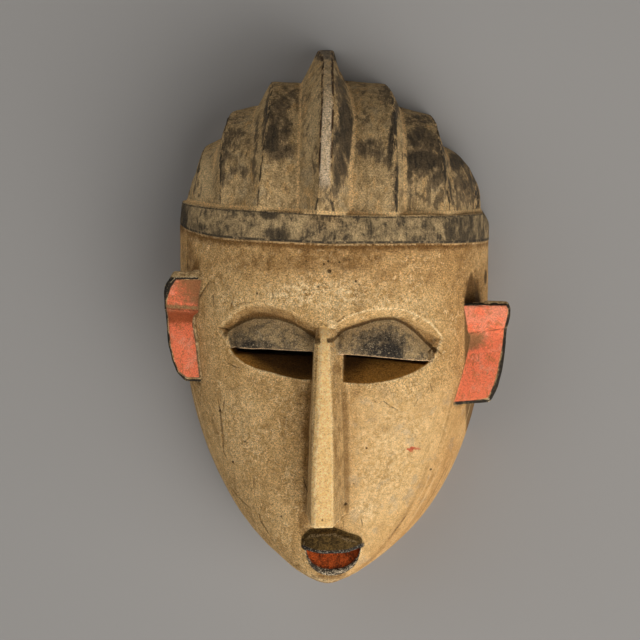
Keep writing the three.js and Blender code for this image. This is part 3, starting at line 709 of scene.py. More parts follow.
def relief(p, arris):
    """How far the worked, worn and cracked surface stands off the plain form, in mm."""
    x, y, z = p.T
    out = outside_share(p)
    hair = step(-0.5, 1.0, y - band_top(x))
    band = step(-0.5, 1.0, y - band_foot(x)) * (1 - hair)
    face = 1 - hair - band
    calm = step(4, 24, x) * step(-42, -62, y)  # the right cheek is the smoothest part
    d = 0.30 * fractal(p, 27, 3, 2)
    # shallow tool facets with soft ridges between
    d += (0.22 - 0.12 * calm) * (0.35 - np.abs(noise(p, 13, 11)))
    d += (0.10 - 0.05 * calm) * fractal(p, 5.0, 21, 3)
    # plates and band carry long marks along the grain
    d += hair * 0.30 * fractal(p, 4.5, 31, 3, (1, 5, 3))
    d += band * 0.22 * fractal(p, 2.6, 37, 3, (1, 6, 3))
    jaw = face * step(-40, -90, y) * step(26, 8, half_width(np.clip(y, -185, 80)) - np.abs(x))
    d -= jaw * 0.32 * np.maximum(rim_lines(p, 51) - 0.25, 0) * 1.6
    d += face * 0.06 * fractal(p, 2.0, 61, 2)
    # pits
    lively = 1 - 0.75 * calm
    best, size = dots(p, 6.0, 71, 0.30 * 1.0)
    r = 0.7 + 1.0 * size
    d -= out * lively * 0.42 * (0.4 + size) * (1 - step(0.3, 1.0, best * 6.0 / r))
    # worn and chipped arrises
    sharp = np.clip((arris - 0.08) / 0.32, 0, 1)
    d -= sharp * (0.10 + 0.45 * step(0.05, 0.6, noise(p, 8, 41)) + 0.75 * step(0.40, 0.65, noise(p, 3.2, 43)))
    # cracks and nicks
    s, w, deep = crack_fields(x, y)
    d -= (z > 20) * face * deep * np.clip((w + 0.5 - np.abs(s)) / 0.5, 0, 1) * (w > 0)
    for sx, sy, r in SPECKS:
        near = np.hypot(x - sx, y - sy)
        d -= face * 0.7 * (1 - step(0.3 * r, 1.15 * r, near)) * (z > 40)
    # adze hollows behind
    cell, _ = dots(p, 17.0, 91, 1.0)
    inside = 0.9 * (cell ** 2 - 0.25) + 0.15 * noise(p, 7, 93)
    return (d * out + inside * (1 - out)).astype(f32)


def blob(x, y, cx, cy, rx, ry, turn=0.0):
    """1 in the middle of a soft ellipse, 0 outside it."""
    c, s = math.cos(math.radians(turn)), math.sin(math.radians(turn))
    dx, dy = x - cx, y - cy
    return 1 - step(0.55, 1.45, np.hypot((dx * c + dy * s) / rx, (dy * c - dx * s) / ry))


# Blackened parts of the coiffure and the band: x, y, radii, turn, strength.
SOOT = [(-34, 140, 8, 19, 0, 0.52), (-38, 126, 5, 10, 0, 0.85), (-30, 118, 9, 5, 0, 0.46), (-29, 156, 10, 5, 0, 0.30),
        (-44, 140, 1.4, 26, 0, 0.60), (-67, 126, 6, 15, -8, 0.28), (-73, 112, 2.2, 16, 0, 0.62), (-62, 104, 7, 4, 0, 0.36),
        (-70, 140, 7, 4, 0, 0.26), (-97, 100, 2.0, 12, 0, 0.40), (-86, 114, 5, 5, 0, 0.12), (-92, 92, 4, 4, 0, 0.18),
        (-9, 156, 2.2, 18, -8, 0.16), (-14, 130, 2.0, 15, 0, 0.16), (-6, 112, 2.2, 9, 0, 0.42), (-2, 188, 9, 4, 0, 0.95), (3, 92, 6, 10, 0, 0.48), (72, 98, 12, 8, 0, 0.40),
        (10, 157, 2.8, 15, 14, 0.55), (14, 134, 3.6, 19, 6, 1.0), (9, 122, 2.4, 16, 0, 0.62), (11, 106, 4.2, 12, 0, 0.66),
        (24, 160, 9, 5, 0, 0.08), (40, 158, 5, 7, 0, 0.42), (27, 143, 4, 6, 0, 0.20), (30, 121, 8, 6.0, 0, 0.50),
        (46, 131, 1.8, 23, -4, 0.80), (41, 113, 6, 3, 0, 0.36), (49.0, 96, 1.3, 15, 0, 0.85),
        (62, 140, 8, 4, 0, 0.42), (66, 127, 10, 7, -10, 0.62), (67, 112, 11, 6.0, -4, 1.05), (80, 112, 2.2, 14, 10, 0.72),
        (85, 92, 1.4, 11, 12, 0.85), (89, 110, 6, 6, 20, 0.66), (102, 95, 2.0, 13, 16, 0.8), (96, 86, 5, 4, 0, 0.45),
        (70, 92, 14, 10, 0, 0.34), (97, 92, 9, 16, 0, 0.44), (58, 100, 1.4, 18, 0, 0.55), (-50, 120, 1.4, 24, 0, 0.40),
        (98, 64, 16, 11, 0, 0.58), (64, 61, 26, 8, 0, 0.34), (-108, 70, 7, 10, 0, 0.75), (-38, 74, 8, 2.6, -6, 0.8),
        (-30, 61, 7, 5, 0, 0.62), (-78, 63, 18, 4, -8, 0.42), (-2, 73, 6, 3, 0, 0.5), (30, 66, 5, 7, 0, 0.4)]


def zones(p, arris, valley, hollow_):
    """Named fields over the surface that the paint follows; distances are in mm, positive inside."""
    x, y, z = p.T
    t = head_distance(x, y, z)
    out = {}
    top, foot = band_top(x), band_foot(x)
    out["hair"] = y - top
    out["band"] = np.minimum(top + 0.1 - y, y - foot + 0.3)
    out["foot_line"] = 0.6 - np.abs(y - foot + 0.9) - 3 * (z < 12)
    out["ledge"] = 1.5 - np.abs(y - top - 0.7) - 3 * (z < 12)
    out["inside"] = 1.6 - hollow_distance(x, y, z)
    # eyes
    lid = np.full(x.shape, -9.0, f32)
    slope, deep, brow, crease, lid_edge = lid.copy(), np.zeros(x.shape, f32), lid.copy(), lid.copy(), lid.copy()
    lid_dark, wall, lid_fold = np.zeros(x.shape, f32), np.zeros(x.shape, f32), np.zeros(x.shape, f32)
    for e in EYES:
        here = (x * e["side"] > 2) & (np.abs(y + 14) < 34) & (z > 50)
        end = beside(e["lid_end"], x, y, e["side"])
        above, below = y - e["low"](x), e["top"](x) - y
        on = np.minimum(np.minimum(above + 0.5, below + 0.3), end + 1.5)
        lid = np.where(here, np.maximum(lid, np.minimum(on, (2.6 - t) * 2)), lid)
        rise = across(e["opening"], x, y)
        cut = np.minimum(np.minimum(-above - 0.2, rise - 0.1), (x * e["side"] - abs(e["inner"])) + 1.0)
        slope = np.where(here, np.maximum(slope, cut), slope)
        # painted shadow in the eye openings: the slope darkens towards the slit under the lid and towards the nose
        deep = np.where(here & (cut > -2), (0.08 + 0.70 * step(1, 11, rise) + 0.54 * step(-66, -26, x)) if e["side"] < 0 else (0.62 * step(0, 20, rise) + 0.45 * step(36, 14, x)), deep)
        out_end = beside(e["outer"], x, y, e["side"])
        # painted highlight: a light line along the brow edge, narrower on the left eye
        brow = np.where(here, np.maximum(brow, np.minimum(0.45 - np.abs(across(e["brow"], x, y)), out_end + 1) - (0.45 if e["side"] < 0 else 0.0)), brow)
        # painted shade: a dark line in the fold along the top of each lid
        crease = np.where(here, np.maximum(crease, np.minimum(1.5 - np.abs(across(e["top"], x, y) - 0.9) if e["side"] > 0 else 1.9 - np.abs(across(e["top"], x, y) - 0.2), end + 4)), crease)
        over = across(e["top"], x, y)
        # painted shade with brown paint on the socket walls under the brows, heaviest on the left eye and darkest next
        # to the lid
        on_wall = step(-0.3 if e["side"] > 0 else 0.8, 0.6 if e["side"] > 0 else 3.0, -across(e["brow"], x, y)) * step(-0.6, 0.4, over) * step(-2, 2, out_end)
        much = (0.56 + 0.44 * step(6, 0, over)) if e["side"] < 0 else (0.05 + 0.62 * step(4.5, 0, over))
        wall = np.where(here, np.maximum(wall, on_wall * much), wall)
        lid_fold = np.where(here, step(4.2, 1.8, below) * (1 if e["side"] > 0 else 0.6), lid_fold)
        # worn wood with a painted highlight along the lid's lower edge
        lid_edge = np.where(here, np.maximum(lid_edge, np.minimum(0.75 - np.abs(above - 0.1), np.minimum(end + 1.0, (2.6 - t) * 2))), lid_edge)
    lid_dark = 0.30 + 0.10 * step(14, 24, x) + 0.34 * blob(x, y, 39.5, -17, 15, 10) + 0.36 * blob(x, y, 45, -23, 10, 7) - 0.10 * blob(x, y, 62, -17, 9, 8) - 0.30 * lid_fold \
        + 0.36 * blob(x, y, -45, -16.5, 18, 4) + 0.25 * blob(x, y, -60, -14, 8, 6)
    out["lid"], out["slope"], out["deep"], out["lid_dark"] = lid, slope, deep, lid_dark
    out["brow"], out["crease"], out["lid_edge"], out["wall"] = brow, crease, lid_edge, wall
    # mouth
    s, up, lo, lip = mouth_curves(x)
    here = (np.abs(x - MOUTH_X) < 24) & (y < -140) & (z > 70)
    wide = MOUTH_HALF - np.abs(x - MOUTH_X)
    out["pad"] = np.where(here, np.minimum(np.minimum(y - up, pad_top(x) + 0.8 - y), 21.5 - np.abs(x - 4.2)), -9)
    out["lip_line"] = np.where(here, np.minimum(1.75 - np.abs(y - up - 1.0), wide + 3.0), -9)
    out["mouth"] = np.where(here, np.minimum(np.minimum(up - y, y - lo), wide + 0.6), -9)
    out["ring"] = np.where(here, np.minimum(np.minimum(lo + 0.6 - y, y - lo + lip + 0.3), wide + 1.6), -9)
    # ears
    panel = np.full(x.shape, -9.0, f32)
    ear, fold, shade, outer, ridge = panel.copy(), panel.copy(), np.zeros(x.shape, f32), panel.copy(), panel.copy()
    for e in EARS:
        here = (x * e["side"] > 78) & (y < e["top"] + 8) & (y > e["foot"] - 8) & (z > 40)
        k = np.flatnonzero(here)
        u, v, w, outline, front, past = ear_fields(e, x[k], y[k], z[k])
        off = np.minimum(t[k] * 0.9 + 0.2, 2.2 - ear_distance(e, x[k], y[k], z[k]) * 2)
        ear[k] = np.maximum(ear[k], off)
        if e["side"] > 0:
            rim_in = np.minimum(-outline - 2.7 - 1.3 * step(-14, -34, v) * step(14, 30, u), e["top"] - 3.7 - v)
        else:
            rim_in = np.minimum(-outline - 2.0 - 2.6 * step(8, 22, v) * step(8, 22, u) - 1.2 * step(-37, -45, v), e["top"] - 5.4 - v)
            rim_in = np.minimum(rim_in, t[k] * 0.9 - 1.3 * step(4, -4, v))
        panel[k] = np.minimum(np.minimum(rim_in, (w - front + 2.2) * 1.2), off)
        outer[k] = np.minimum(np.maximum(outline + 1.6 + (2.8 * step(8, 22, v) * step(8, 22, u) if e["side"] < 0 else 1.1 + 0.7 * step(-14, -34, v)), front - w - 2.0), off)
        under_top = e["top"] - v
        tan_top, black_to = (3.4, 5.5) if e["side"] < 0 else (2.0, 3.9)
        outer[k] = np.where(under_top < tan_top, -3.5, np.where(under_top < black_to, np.maximum(outer[k], 1.2 - 4.0 * (u < 3)), outer[k]))
        if e["side"] < 0:
            ridge[k] = np.where(np.abs(past) < 9, 1.1 - np.abs(past - 1.6), -9)
        fold[k] = np.where(np.abs(past) < 9, 0.55 - np.abs(past + 0.4), -9)
        soft_hollow = np.exp(-((past + 5.8) / (6.4 if e["side"] > 0 else 6.5)) ** 2)
        shade[k] = soft_hollow * (1.6 * (1 - step(12, 34, u)) if e["side"] > 0 else 1.15)
        if e["side"] < 0:
            shade[k] = np.maximum(shade[k], 0.95 * np.exp(-((past - 1.5) / 2.6) ** 2))
            shade[k] = np.maximum(shade[k], (0.40 + 0.62 * step(26, 2, u + 0.35 * (20 - v))) * step(4, 12, v))
    out["ear"], out["ear_panel"], out["ear_fold"], out["ear_shade"], out["ear_outer"] = ear, panel, fold, shade, outer
    out["left"], out["ridge"], out["high"] = step(5, -5, x), ridge, step(2, 10, y + 12) * (x > 0)
    out["high_left"] = step(-1, 5, y - 4) * (x < 0)
    # the fin's narrow front
    phi = way_back(x, y, z)
    left = np.interp(phi, PLACES, COIFFURE[FIN_LEFT][0])
    right = np.interp(phi, PLACES, COIFFURE[FIN_RIGHT][0])
    out["strip"] = np.minimum(x - left, right - x) + 0.3
    out["strip"] = np.where((np.abs(x) < 20) & (z > 20) & (y > 74), out["strip"], -9)
    out["way"] = y * 1.0
    soot = np.zeros(x.shape, f32)
    for cx, cy, rx, ry, turn, much in SOOT:
        soot = np.maximum(soot, much * blob(x, y, cx, cy, rx * 1.15, ry * 1.15, turn))
    soot += 0.05 + 0.05 * step(100, 130, y) + 0.25 * step(20, 0, z) * step(0, 20, y - top)
    out["soot"] = soot
    # painted light: the fin's left face and a plate low on the left are painted paler to lift their shade
    out["hair_pale"] = np.maximum(0.75 * blob(x, y, -91, 98, 10, 18, 0), 0.65 * blob(x, y, -9, 136, 5, 26, -4))
    # grime on the face: brown patches, darker just under the band, at the chin and low down by the rim; brown paint
    # with painted shade along the nose's left side; painted shade on the nose's right wall, in the gouge above the
    # right ear and where the left ear's top meets the head
    dirt = 1.0 * step(12, 0, foot - y) * (y < foot + 2)
    # brown paint with painted shade in a strip along the nose's left side
    side = np.interp(y, [-124, -119, -93, -53, -44], [-9.0, -11, -17.5, -22, -22]) + 2.0 * noise(p, 11, 301)
    dirt = np.maximum(dirt, 0.68 * step(-5.5, 5.5, x - side) * (x < 0) * step(-34, -50, y) * step(-128, -118, y) * (t < 5))
    dirt = np.maximum(dirt, 0.8 * blob(x, y, -15.0, -144, 4.5, 13, 8) * (t < 2.5))
    # painted shade: the nose's right wall is painted darker
    nose_wall_shade = step(0, 2, x - nose_mid(y) - nose_half(y)) * step(15, 13, x) * (t > 0) * (y < 0) * (y > NOSE_FOOT)
    dirt = np.maximum(dirt, 0.54 * nose_wall_shade)
    for cx, cy, rx, ry, turn, much in ((-12, 44, 70, 11, 0, 0.62), (-50, 36, 30, 9, -8, 0.50), (40, 40, 26, 8, 0, 0.42), (-82, -30, 10, 40, 0, 0.22), (-45, 7, 18, 4, 0, 0.36), (3, -185, 17, 8, 0, 0.85), (85, 20, 18, 22, 0, 0.30), (100, 58, 12, 8, 0, 0.45), (60, 30, 24, 12, 0, 0.30), (38, -75, 13, 6, 20, 0.34), (22, -48, 9, 5, 0, 0.34), (-70, 30, 14, 10, 0, 0.34),
                                      (-30, 47, 34, 7, 0, 0.38), (-20, -62, 14, 18, 0, 0.42), (-45, -95, 16, 14, 0, 0.30),
                                      (-52, -123, 12, 16, -30, 0.34), (12, 26, 20, 10, 0, 0.08), (98, 36, 9, 20, 0, 0.55),
                                      (-98, 40, 8, 20, 0, 0.5), (60, 40, 26, 9, 0, 0.26), (-60, -45, 14, 12, 0, 0.26),
                                      (101.4, 17, 6.0, 14, 0, 1.15), (-94, 36, 4, 5, 0, 0.9), (24, -106, 6, 24, 0, 0.22)):
        dirt = np.maximum(dirt, much * blob(x, y, cx, cy, rx, ry, turn))
    dirt = np.maximum(dirt, 0.55 * step(34, 6, z) * (y < foot))
    out["dirt"] = dirt
    tan = 0.66 * step(66, 104, x) * step(40, 10, y) + 0.30 * step(8, 34, y) * step(-60, 30, x) + 0.16 * step(14, 40, y) + 0.30 * step(-88, -104, x)
    tan = np.maximum(tan, 0.75 * step(30, 8, half_width(np.clip(y, CHIN_Y + 3, 80)) - x) * (x > 0) * step(-60, -100, y))
    out["tan"] = np.clip(tan, 0, 1)
    out["gouge"] = np.minimum(5.6 * np.clip((32 - y) / 20, 0, 1) ** 0.7 - np.abs(x - 101.2 - 0.02 * (32 - y)), 33 - y)
    across_nose = np.minimum(x - (nose_mid(y) - nose_half(y)) - 0.8 * nose_chamfer(y), nose_mid(y) + nose_half(y) - x)
    out["nose_front"] = np.where((y < -2) & (y > NOSE_FOOT - 3), np.minimum(across_nose + 0.4, (z - nose_ridge(y) + 3.0)), -9)
    pale = np.zeros(x.shape, f32)
    for cx, cy, rx, ry, much in ((-62, -78, 18, 26, 0.40), (-5, 20, 36, 9, 1.0), (4, -10, 6, 16, 0.9), (2, 30, 30, 10, 0.4), (-68, 12, 14, 12, 0.45), (40, -100, 24, 30, 0.45), (27, -133, 8, 8, 0.8), (14, -122, 4, 6, 0.6), (20, 24, 26, 12, 0.35), (-30, 18, 28, 10, 0.35),
                                (50, -70, 22, 30, 0.35), (60, 8, 14, 10, 0.3), (-52, 18, 12, 6, 0.4), (46, 14, 22, 6, 0.45)):
        pale = np.maximum(pale, much * blob(x, y, cx, cy, rx, ry))
    out["pale"] = pale
    out["calm"] = step(2, 26, x) * step(-38, -62, y)
    s, w, deep_ = crack_fields(x, y)
    off = (z > 20) & (y < foot + 1)
    out["crack_side"], out["crack_half"] = np.where(off, s, 9.0), np.where(off, w, -9.0)
    speck = np.full(x.shape, -9.0, f32)
    for sx, sy, r in SPECKS:
        speck = np.maximum(speck, r - np.hypot(x - sx, y - sy))
    out["speck"] = np.where((z > 40) & (y < foot), speck, -9)
    # painted shade: a black slit over the right lacing slot
    out["speck"] = np.where((z > 12) & (y < foot), np.maximum(out["speck"], (1 - np.hypot((x - 111.4) / 1.1, (y - 27.0) / 5.5)) * 1.5), out["speck"])
    # stray marks of red paint, strokes from one point to another with a radius
    red = np.maximum(0.7 - np.hypot(x + 42.0, y - 87.5), 0.8 - np.hypot(x - 53.0, y - 64.0))
    for ax, ay, bx, by, r in ((56.7, -90.7, 61.8, -90.5, 0.85), (60.1, -89.4, 60.3, -90.0, 0.85), (62.5, -90.6, 64.6, -88.6, 0.75),
                              (63.2, -89.5, 65.2, -91.4, 0.55), (59.8, -93.3, 60.0, -93.5, 0.60)):
        k = np.clip(((x - ax) * (bx - ax) + (y - ay) * (by - ay)) / ((bx - ax) ** 2 + (by - ay) ** 2), 0, 1)
        red = np.maximum(red, r - np.hypot(x - ax - k * (bx - ax), y - ay - k * (by - ay)))
    out["red_smear"] = np.where(z > 40, red, -9)
    inward = half_width(np.clip(y, CHIN_Y + 3, 80)) - np.abs(x)
    out["jaw"] = np.where(y < foot, step(30, 10, inward + 0.4 * np.minimum(z, 60) * 0), 0) * step(-10, -60, y)
    out["grain_line"] = rim_lines(p, 51)
    out["arris"], out["valley"], out["hollow"] = arris, valley, hollow_
    return out


# ------------------------------------------------------------------ mesh
D, HD = build_field()
soft = box_blur(D, 2)
CURVE = soft - D  # positive on arrises, negative in creases
verts, quads = surface(D)
note("surface: %d vertices, %d quads" % (len(verts), len(quads)))
mesh = make_mesh("carved_mask", verts, quads)
verts = vertex_array(mesh)
normals = vertex_array(mesh, "normal")
arris = sample(CURVE, verts)
verts = verts + normals * relief(verts, arris)[:, None]
mesh.vertices.foreach_set("co", np.ascontiguousarray(verts, f32).ravel())
mesh.update()
note("worked over")
piece = bpy.data.objects.new("carved_mask", mesh)
bpy.context.scene.collection.objects.link(piece)

dec = piece.modifiers.new("thin", "DECIMATE")
dec.ratio = min(1.0, MOST_TRIANGLES / (2.0 * len(quads)))
dep = bpy.context.evaluated_depsgraph_get()
thin = bpy.data.meshes.new_from_object(piece.evaluated_get(dep))
piece.modifiers.clear()
piece.data = thin
bpy.data.meshes.remove(mesh)
thin.name = "carved_mask"
note("thinned to %d triangles" % sum(len(p.vertices) - 2 for p in thin.polygons))

co = vertex_array(thin)
WIDE5 = box_blur(D, 5) - D
mid = sample(WIDE5, co)
del WIDE5
WIDE12 = box_blur(soft, 12) - D
broad = sample(WIDE12, co)
del WIDE12
fields = zones(co, sample(CURVE, co), mid, broad)
for name, values in fields.items():
    a = thin.attributes.new(name, "FLOAT", "POINT")
    a.data.foreach_set("value", np.ascontiguousarray(values, f32))
    note("%-12s %7.2f .. %7.2f" % (name, float(np.min(values)), float(np.max(values))))
world = (co - np.array([BOX_CENTRE[0], BOX_CENTRE[1], 0], f32)) * 0.001
thin.vertices.foreach_set("co", np.ascontiguousarray(world, f32).ravel())
thin.update()
thin.polygons.foreach_set("use_smooth", np.ones(len(thin.polygons), bool))
thin.set_sharp_from_angle(angle=math.radians(33))


# ------------------------------------------------------------------ paint
def lin(r, g, b):
    """Linear colour from 0-255 screen values."""
    out = []
    for v in (r, g, b):
        v = v / 255.0
        out.append(v / 12.92 if v <= 0.04045 else ((v + 0.055) / 1.055) ** 2.4)
    return tuple(out) + (1.0,)


class Net:
    """Short words for building a node tree."""

    def __init__(self, tree):
        self.nodes, self.links = tree.nodes, tree.links
        place = self.nodes.new("ShaderNodeTexCoord").outputs["Object"]
        self.mm = self.stretched(place, 1000, 1000, 1000)

    def put(self, socket, value):
        if isinstance(value, bpy.types.NodeSocket):
            self.links.new(value, socket)
        else:
            socket.default_value = value

    def stretched(self, vector, x, y, z):
        n = self.nodes.new("ShaderNodeVectorMath")
        n.operation = "MULTIPLY"
        self.put(n.inputs[0], vector)
        n.inputs[1].default_value = (x, y, z)
        return n.outputs[0]

    def math(self, op, a, b=0.0, clamp=False):
        n = self.nodes.new("ShaderNodeMath")
        n.operation, n.use_clamp = op, clamp
        self.put(n.inputs[0], a)
        self.put(n.inputs[1], b)
        return n.outputs[0]

    def add(self, a, b): return self.math("ADD", a, b)
    def sub(self, a, b): return self.math("SUBTRACT", a, b)
    def mul(self, a, b): return self.math("MULTIPLY", a, b)
    def high(self, a, b): return self.math("MAXIMUM", a, b)
    def low(self, a, b): return self.math("MINIMUM", a, b)
    def size(self, a): return self.math("ABSOLUTE", a)

    def ramp(self, v, a, b, lo=0.0, hi=1.0, smooth=True):
        n = self.nodes.new("ShaderNodeMapRange")
        n.interpolation_type = "SMOOTHSTEP" if smooth else "LINEAR"
        for i, w in enumerate((v, a, b, lo, hi)):
            self.put(n.inputs[i], w)
        return n.outputs[0]

    def field(self, name):
        n = self.nodes.new("ShaderNodeAttribute")
        n.attribute_type, n.attribute_name = "GEOMETRY", name
        return n.outputs["Fac"]

    def noise(self, size, detail=3.0, rough=0.55, stretch=None, twist=0.0):
        n = self.nodes.new("ShaderNodeTexNoise")
        n.noise_dimensions = "3D"
        v = self.mm if stretch is None else self.stretched(self.mm, *[1.0 / s for s in stretch])
        self.put(n.inputs["Vector"], v)
        n.inputs["Scale"].default_value = 1.0 / size
        n.inputs["Detail"].default_value = detail
        n.inputs["Roughness"].default_value = rough
        n.inputs["Distortion"].default_value = twist
        return n.outputs[0]

    def cells(self, size, feature="F1"):
        n = self.nodes.new("ShaderNodeTexVoronoi")
        n.voronoi_dimensions, n.feature = "3D", feature
        self.put(n.inputs["Vector"], self.mm)
        n.inputs["Scale"].default_value = 1.0 / size
        return n.outputs["Distance"]

    def mix(self, fac, a, b, kind="MIX"):
        n = self.nodes.new("ShaderNodeMix")
        n.data_type, n.blend_type = "RGBA", kind
        self.put(n.inputs[0], fac)
        self.put(n.inputs[6], a)
        self.put(n.inputs[7], b)
        return n.outputs[2]


mat = bpy.data.materials.new("painted_wood")
mat.use_nodes = True
bsdf = mat.node_tree.nodes["Principled BSDF"]
N = Net(mat.node_tree)
F = {name: N.field(name) for name in fields}
bsdf.inputs["Specular IOR Level"].default_value = 0.14

# shared noises, all 0..1 around 0.5
big = N.noise(24, 3, 0.5)
blotch = N.noise(9, 4, 0.6)
mottle = N.noise(3.2, 7, 0.80)
grit = N.noise(1.25, 3, 0.72)
fine = N.noise(1.15, 3, 0.65)
speckle = N.noise(0.72, 1, 0.5)
drip = N.noise(7.0, 4, 0.62, (1, 4.5, 2))
streak = N.noise(2.4, 5, 0.66, (1, 5, 3))
long_streak = N.noise(7.0, 5, 0.62, (1, 2.4, 2))
wisp = N.noise(5.0, 6, 0.72, (1, 1.8, 1.5), 0.8)
granule = N.cells(1.7)
swirl = N.noise(4.2, 6, 0.72, None, 1.5)
patchy = N.ramp(N.noise(15, 3, 0.6), 0.42, 0.60, 0.30, 1.0)


def edge(name, soft_mm, wander=0.0, by=None):
    """0 outside, 1 inside a field's zero line, with a wandering border."""
    v = F[name]
    if wander:
        v = N.add(v, N.mul(N.sub(by or mottle, 0.5), wander))
    return N.ramp(v, -soft_mm, soft_mm)


# face: cream over ochre, mottled, with brown showing through; painted shade in folds, hollows, the eye sockets and
# beside the nose, and a painted highlight on the brow edges
CREAM, CREAM_LIGHT, OCHRE, BROWN, DARK = (0.92, 0.600, 0.262, 1), (1.16, 0.87, 0.47, 1), (0.54, 0.305, 0.098, 1), (0.225, 0.106, 0.026, 1), (0.055, 0.028, 0.010, 1)
lively = N.ramp(F["calm"], 0, 1, 1.0, 0.50, smooth=False)
face = N.mix(N.ramp(big, 0.38, 0.66), CREAM, (0.84, 0.525, 0.212, 1))
cloud = N.noise(11, 4, 0.66)
face = N.mix(N.mul(N.ramp(cloud, 0.55, 0.40), N.mul(lively, 0.54)), face, (0.60, 0.350, 0.125, 1))
face = N.mix(N.mul(N.ramp(mottle, 0.52, 0.40), N.mul(N.mul(lively, 0.75), patchy)), face, OCHRE)
face = N.mix(N.mul(N.ramp(swirl, 0.49, 0.38), N.mul(N.mul(lively, 0.65), patchy)), face, OCHRE)
face = N.mix(N.mul(N.ramp(blotch, 0.50, 0.64), 0.55), face, (0.62, 0.365, 0.135, 1))
face = N.mix(N.mul(N.ramp(drip, 0.54, 0.68), N.mul(lively, 0.55)), face, (0.40, 0.215, 0.064, 1))
face = N.mix(N.mul(N.ramp(swirl, 0.54, 0.63), N.mul(N.mul(lively, 0.75), patchy)), face, CREAM_LIGHT)
face = N.mix(N.mul(N.ramp(mottle, 0.57, 0.66), N.mul(lively, 0.35)), face, CREAM_LIGHT)
face = N.mix(N.mul(F["pale"], N.ramp(mottle, 0.44, 0.60)), face, CREAM_LIGHT)
grey = N.mul(N.ramp(N.noise(13, 4, 0.6), 0.55, 0.66), N.mul(F["calm"], 0.40))
face = N.mix(grey, face, (0.55, 0.43, 0.285, 1))
tan_patch = N.mul(N.ramp(N.noise(17, 3, 0.55, (1, 1.4, 1)), 0.56, 0.68), N.mul(F["calm"], 0.40))
face = N.mix(tan_patch, face, (0.62, 0.36, 0.14, 1))
# brown where the grime field is high: grime, with painted shade beside the nose, in the gouge and by the left ear
grime_and_shade_level = N.add(F["dirt"], N.add(N.mul(N.sub(blotch, 0.5), 1.1), N.mul(N.sub(mottle, 0.5), 1.8)))
face = N.mix(N.mul(N.ramp(grime_and_shade_level, 0.30, 1.0), 0.80), face, BROWN)
# painted shade and grime: brown laid into narrow folds and broad hollows of the carving
face = N.mix(N.mul(N.ramp(F["valley"], -0.04, -0.55), 0.55), face, BROWN)
face = N.mix(N.mul(N.ramp(F["hollow"], -0.8, -2.6), N.ramp(mottle, 0.35, 0.6, 0.10, 0.4)), face, BROWN)
nose_zone = edge("nose_front", 0.5, 0.8, grit)
nose_light = N.mul(nose_zone, N.ramp(mottle, 0.34, 0.46, 0.55, 1.0))
face = N.mix(nose_light, face, N.mix(N.ramp(swirl, 0.44, 0.58), (1.16, 0.73, 0.28, 1), (1.32, 0.90, 0.41, 1)))
wear = N.mul(N.ramp(F["arris"], 0.09, 0.28), N.ramp(mottle, 0.42, 0.56))
face = N.mix(N.mul(wear, 0.6), face, CREAM_LIGHT)
pits = N.mul(N.ramp(fine, 0.40, 0.29), N.mul(N.ramp(F["calm"], 0, 1, 0.95, 0.35, smooth=False), N.sub(1.0, N.mul(nose_zone, 0.8))))
face = N.mix(pits, face, BROWN)
pits2 = N.mul(N.ramp(speckle, 0.27, 0.18), N.mul(N.ramp(F["calm"], 0, 1, 0.9, 0.35, smooth=False), N.sub(1.0, N.mul(nose_zone, 0.85))))
face = N.mix(N.mul(F["tan"], N.sub(0.9, nose_zone)), face, (0.84, 0.70, 0.58, 1), "MULTIPLY")
# painted shade with brown paint: socket walls darkened towards the lid
face = N.mix(F["wall"], face, (0.44, 0.35, 0.25, 1), "MULTIPLY")
# painted highlight along the brow edges
face = N.mix(N.mul(N.ramp(F["brow"], -0.5, 0.2), N.ramp(wisp, 0.42, 0.54, 0.1, 0.65)), face, CREAM_LIGHT)
# painted shade: dark brown down the gouge above the right ear
face = N.mix(N.mul(N.ramp(N.add(F["gouge"], N.mul(N.sub(mottle, 0.5), 2.0)), -0.8, 0.8), 0.85), face, (0.17, 0.088, 0.030, 1))
# painted shade: dark line in the fold along the top of each lid
face = N.mix(N.mul(N.ramp(F["crease"], -0.9, 0.8), N.ramp(mottle, 0.40, 0.55, 0.60, 0.95)), face, N.mix(F["left"], (0.085, 0.046, 0.016, 1), (0.150, 0.090, 0.034, 1)))
face = N.mix(pits2, face, DARK)
face = N.mix(N.mul(N.ramp(F["grain_line"], 0.30, 0.70), N.mul(F["jaw"], 0.44)), face, BROWN)
face = N.mix(N.mul(N.ramp(F["grain_line"], -0.35, -0.75), N.mul(F["jaw"], 0.34)), face, CREAM_LIGHT)

# coiffure: tan wood, blackened above and along the arrises, dusty in the valleys
TAN, TAN_LIGHT, TAN_DEEP, SOOT_BLACK = (0.70, 0.480, 0.230, 1), (0.96, 0.690, 0.350, 1), (0.45, 0.298, 0.132, 1), (0.058, 0.044, 0.028, 1)
hair = N.mix(N.ramp(wisp, 0.42, 0.58), TAN, TAN_DEEP)
hair = N.mix(N.mul(N.ramp(mottle, 0.53, 0.66), 0.7), hair, TAN_LIGHT)
hair = N.mix(N.mul(N.ramp(N.noise(6.0, 4, 0.6, (1, 2, 1.5)), 0.52, 0.66), 0.55), hair, (0.80, 0.480, 0.185, 1))
hair = N.mix(N.mul(N.ramp(N.noise(12.0, 4, 0.6), 0.54, 0.66), 0.50), hair, (0.56, 0.430, 0.250, 1))
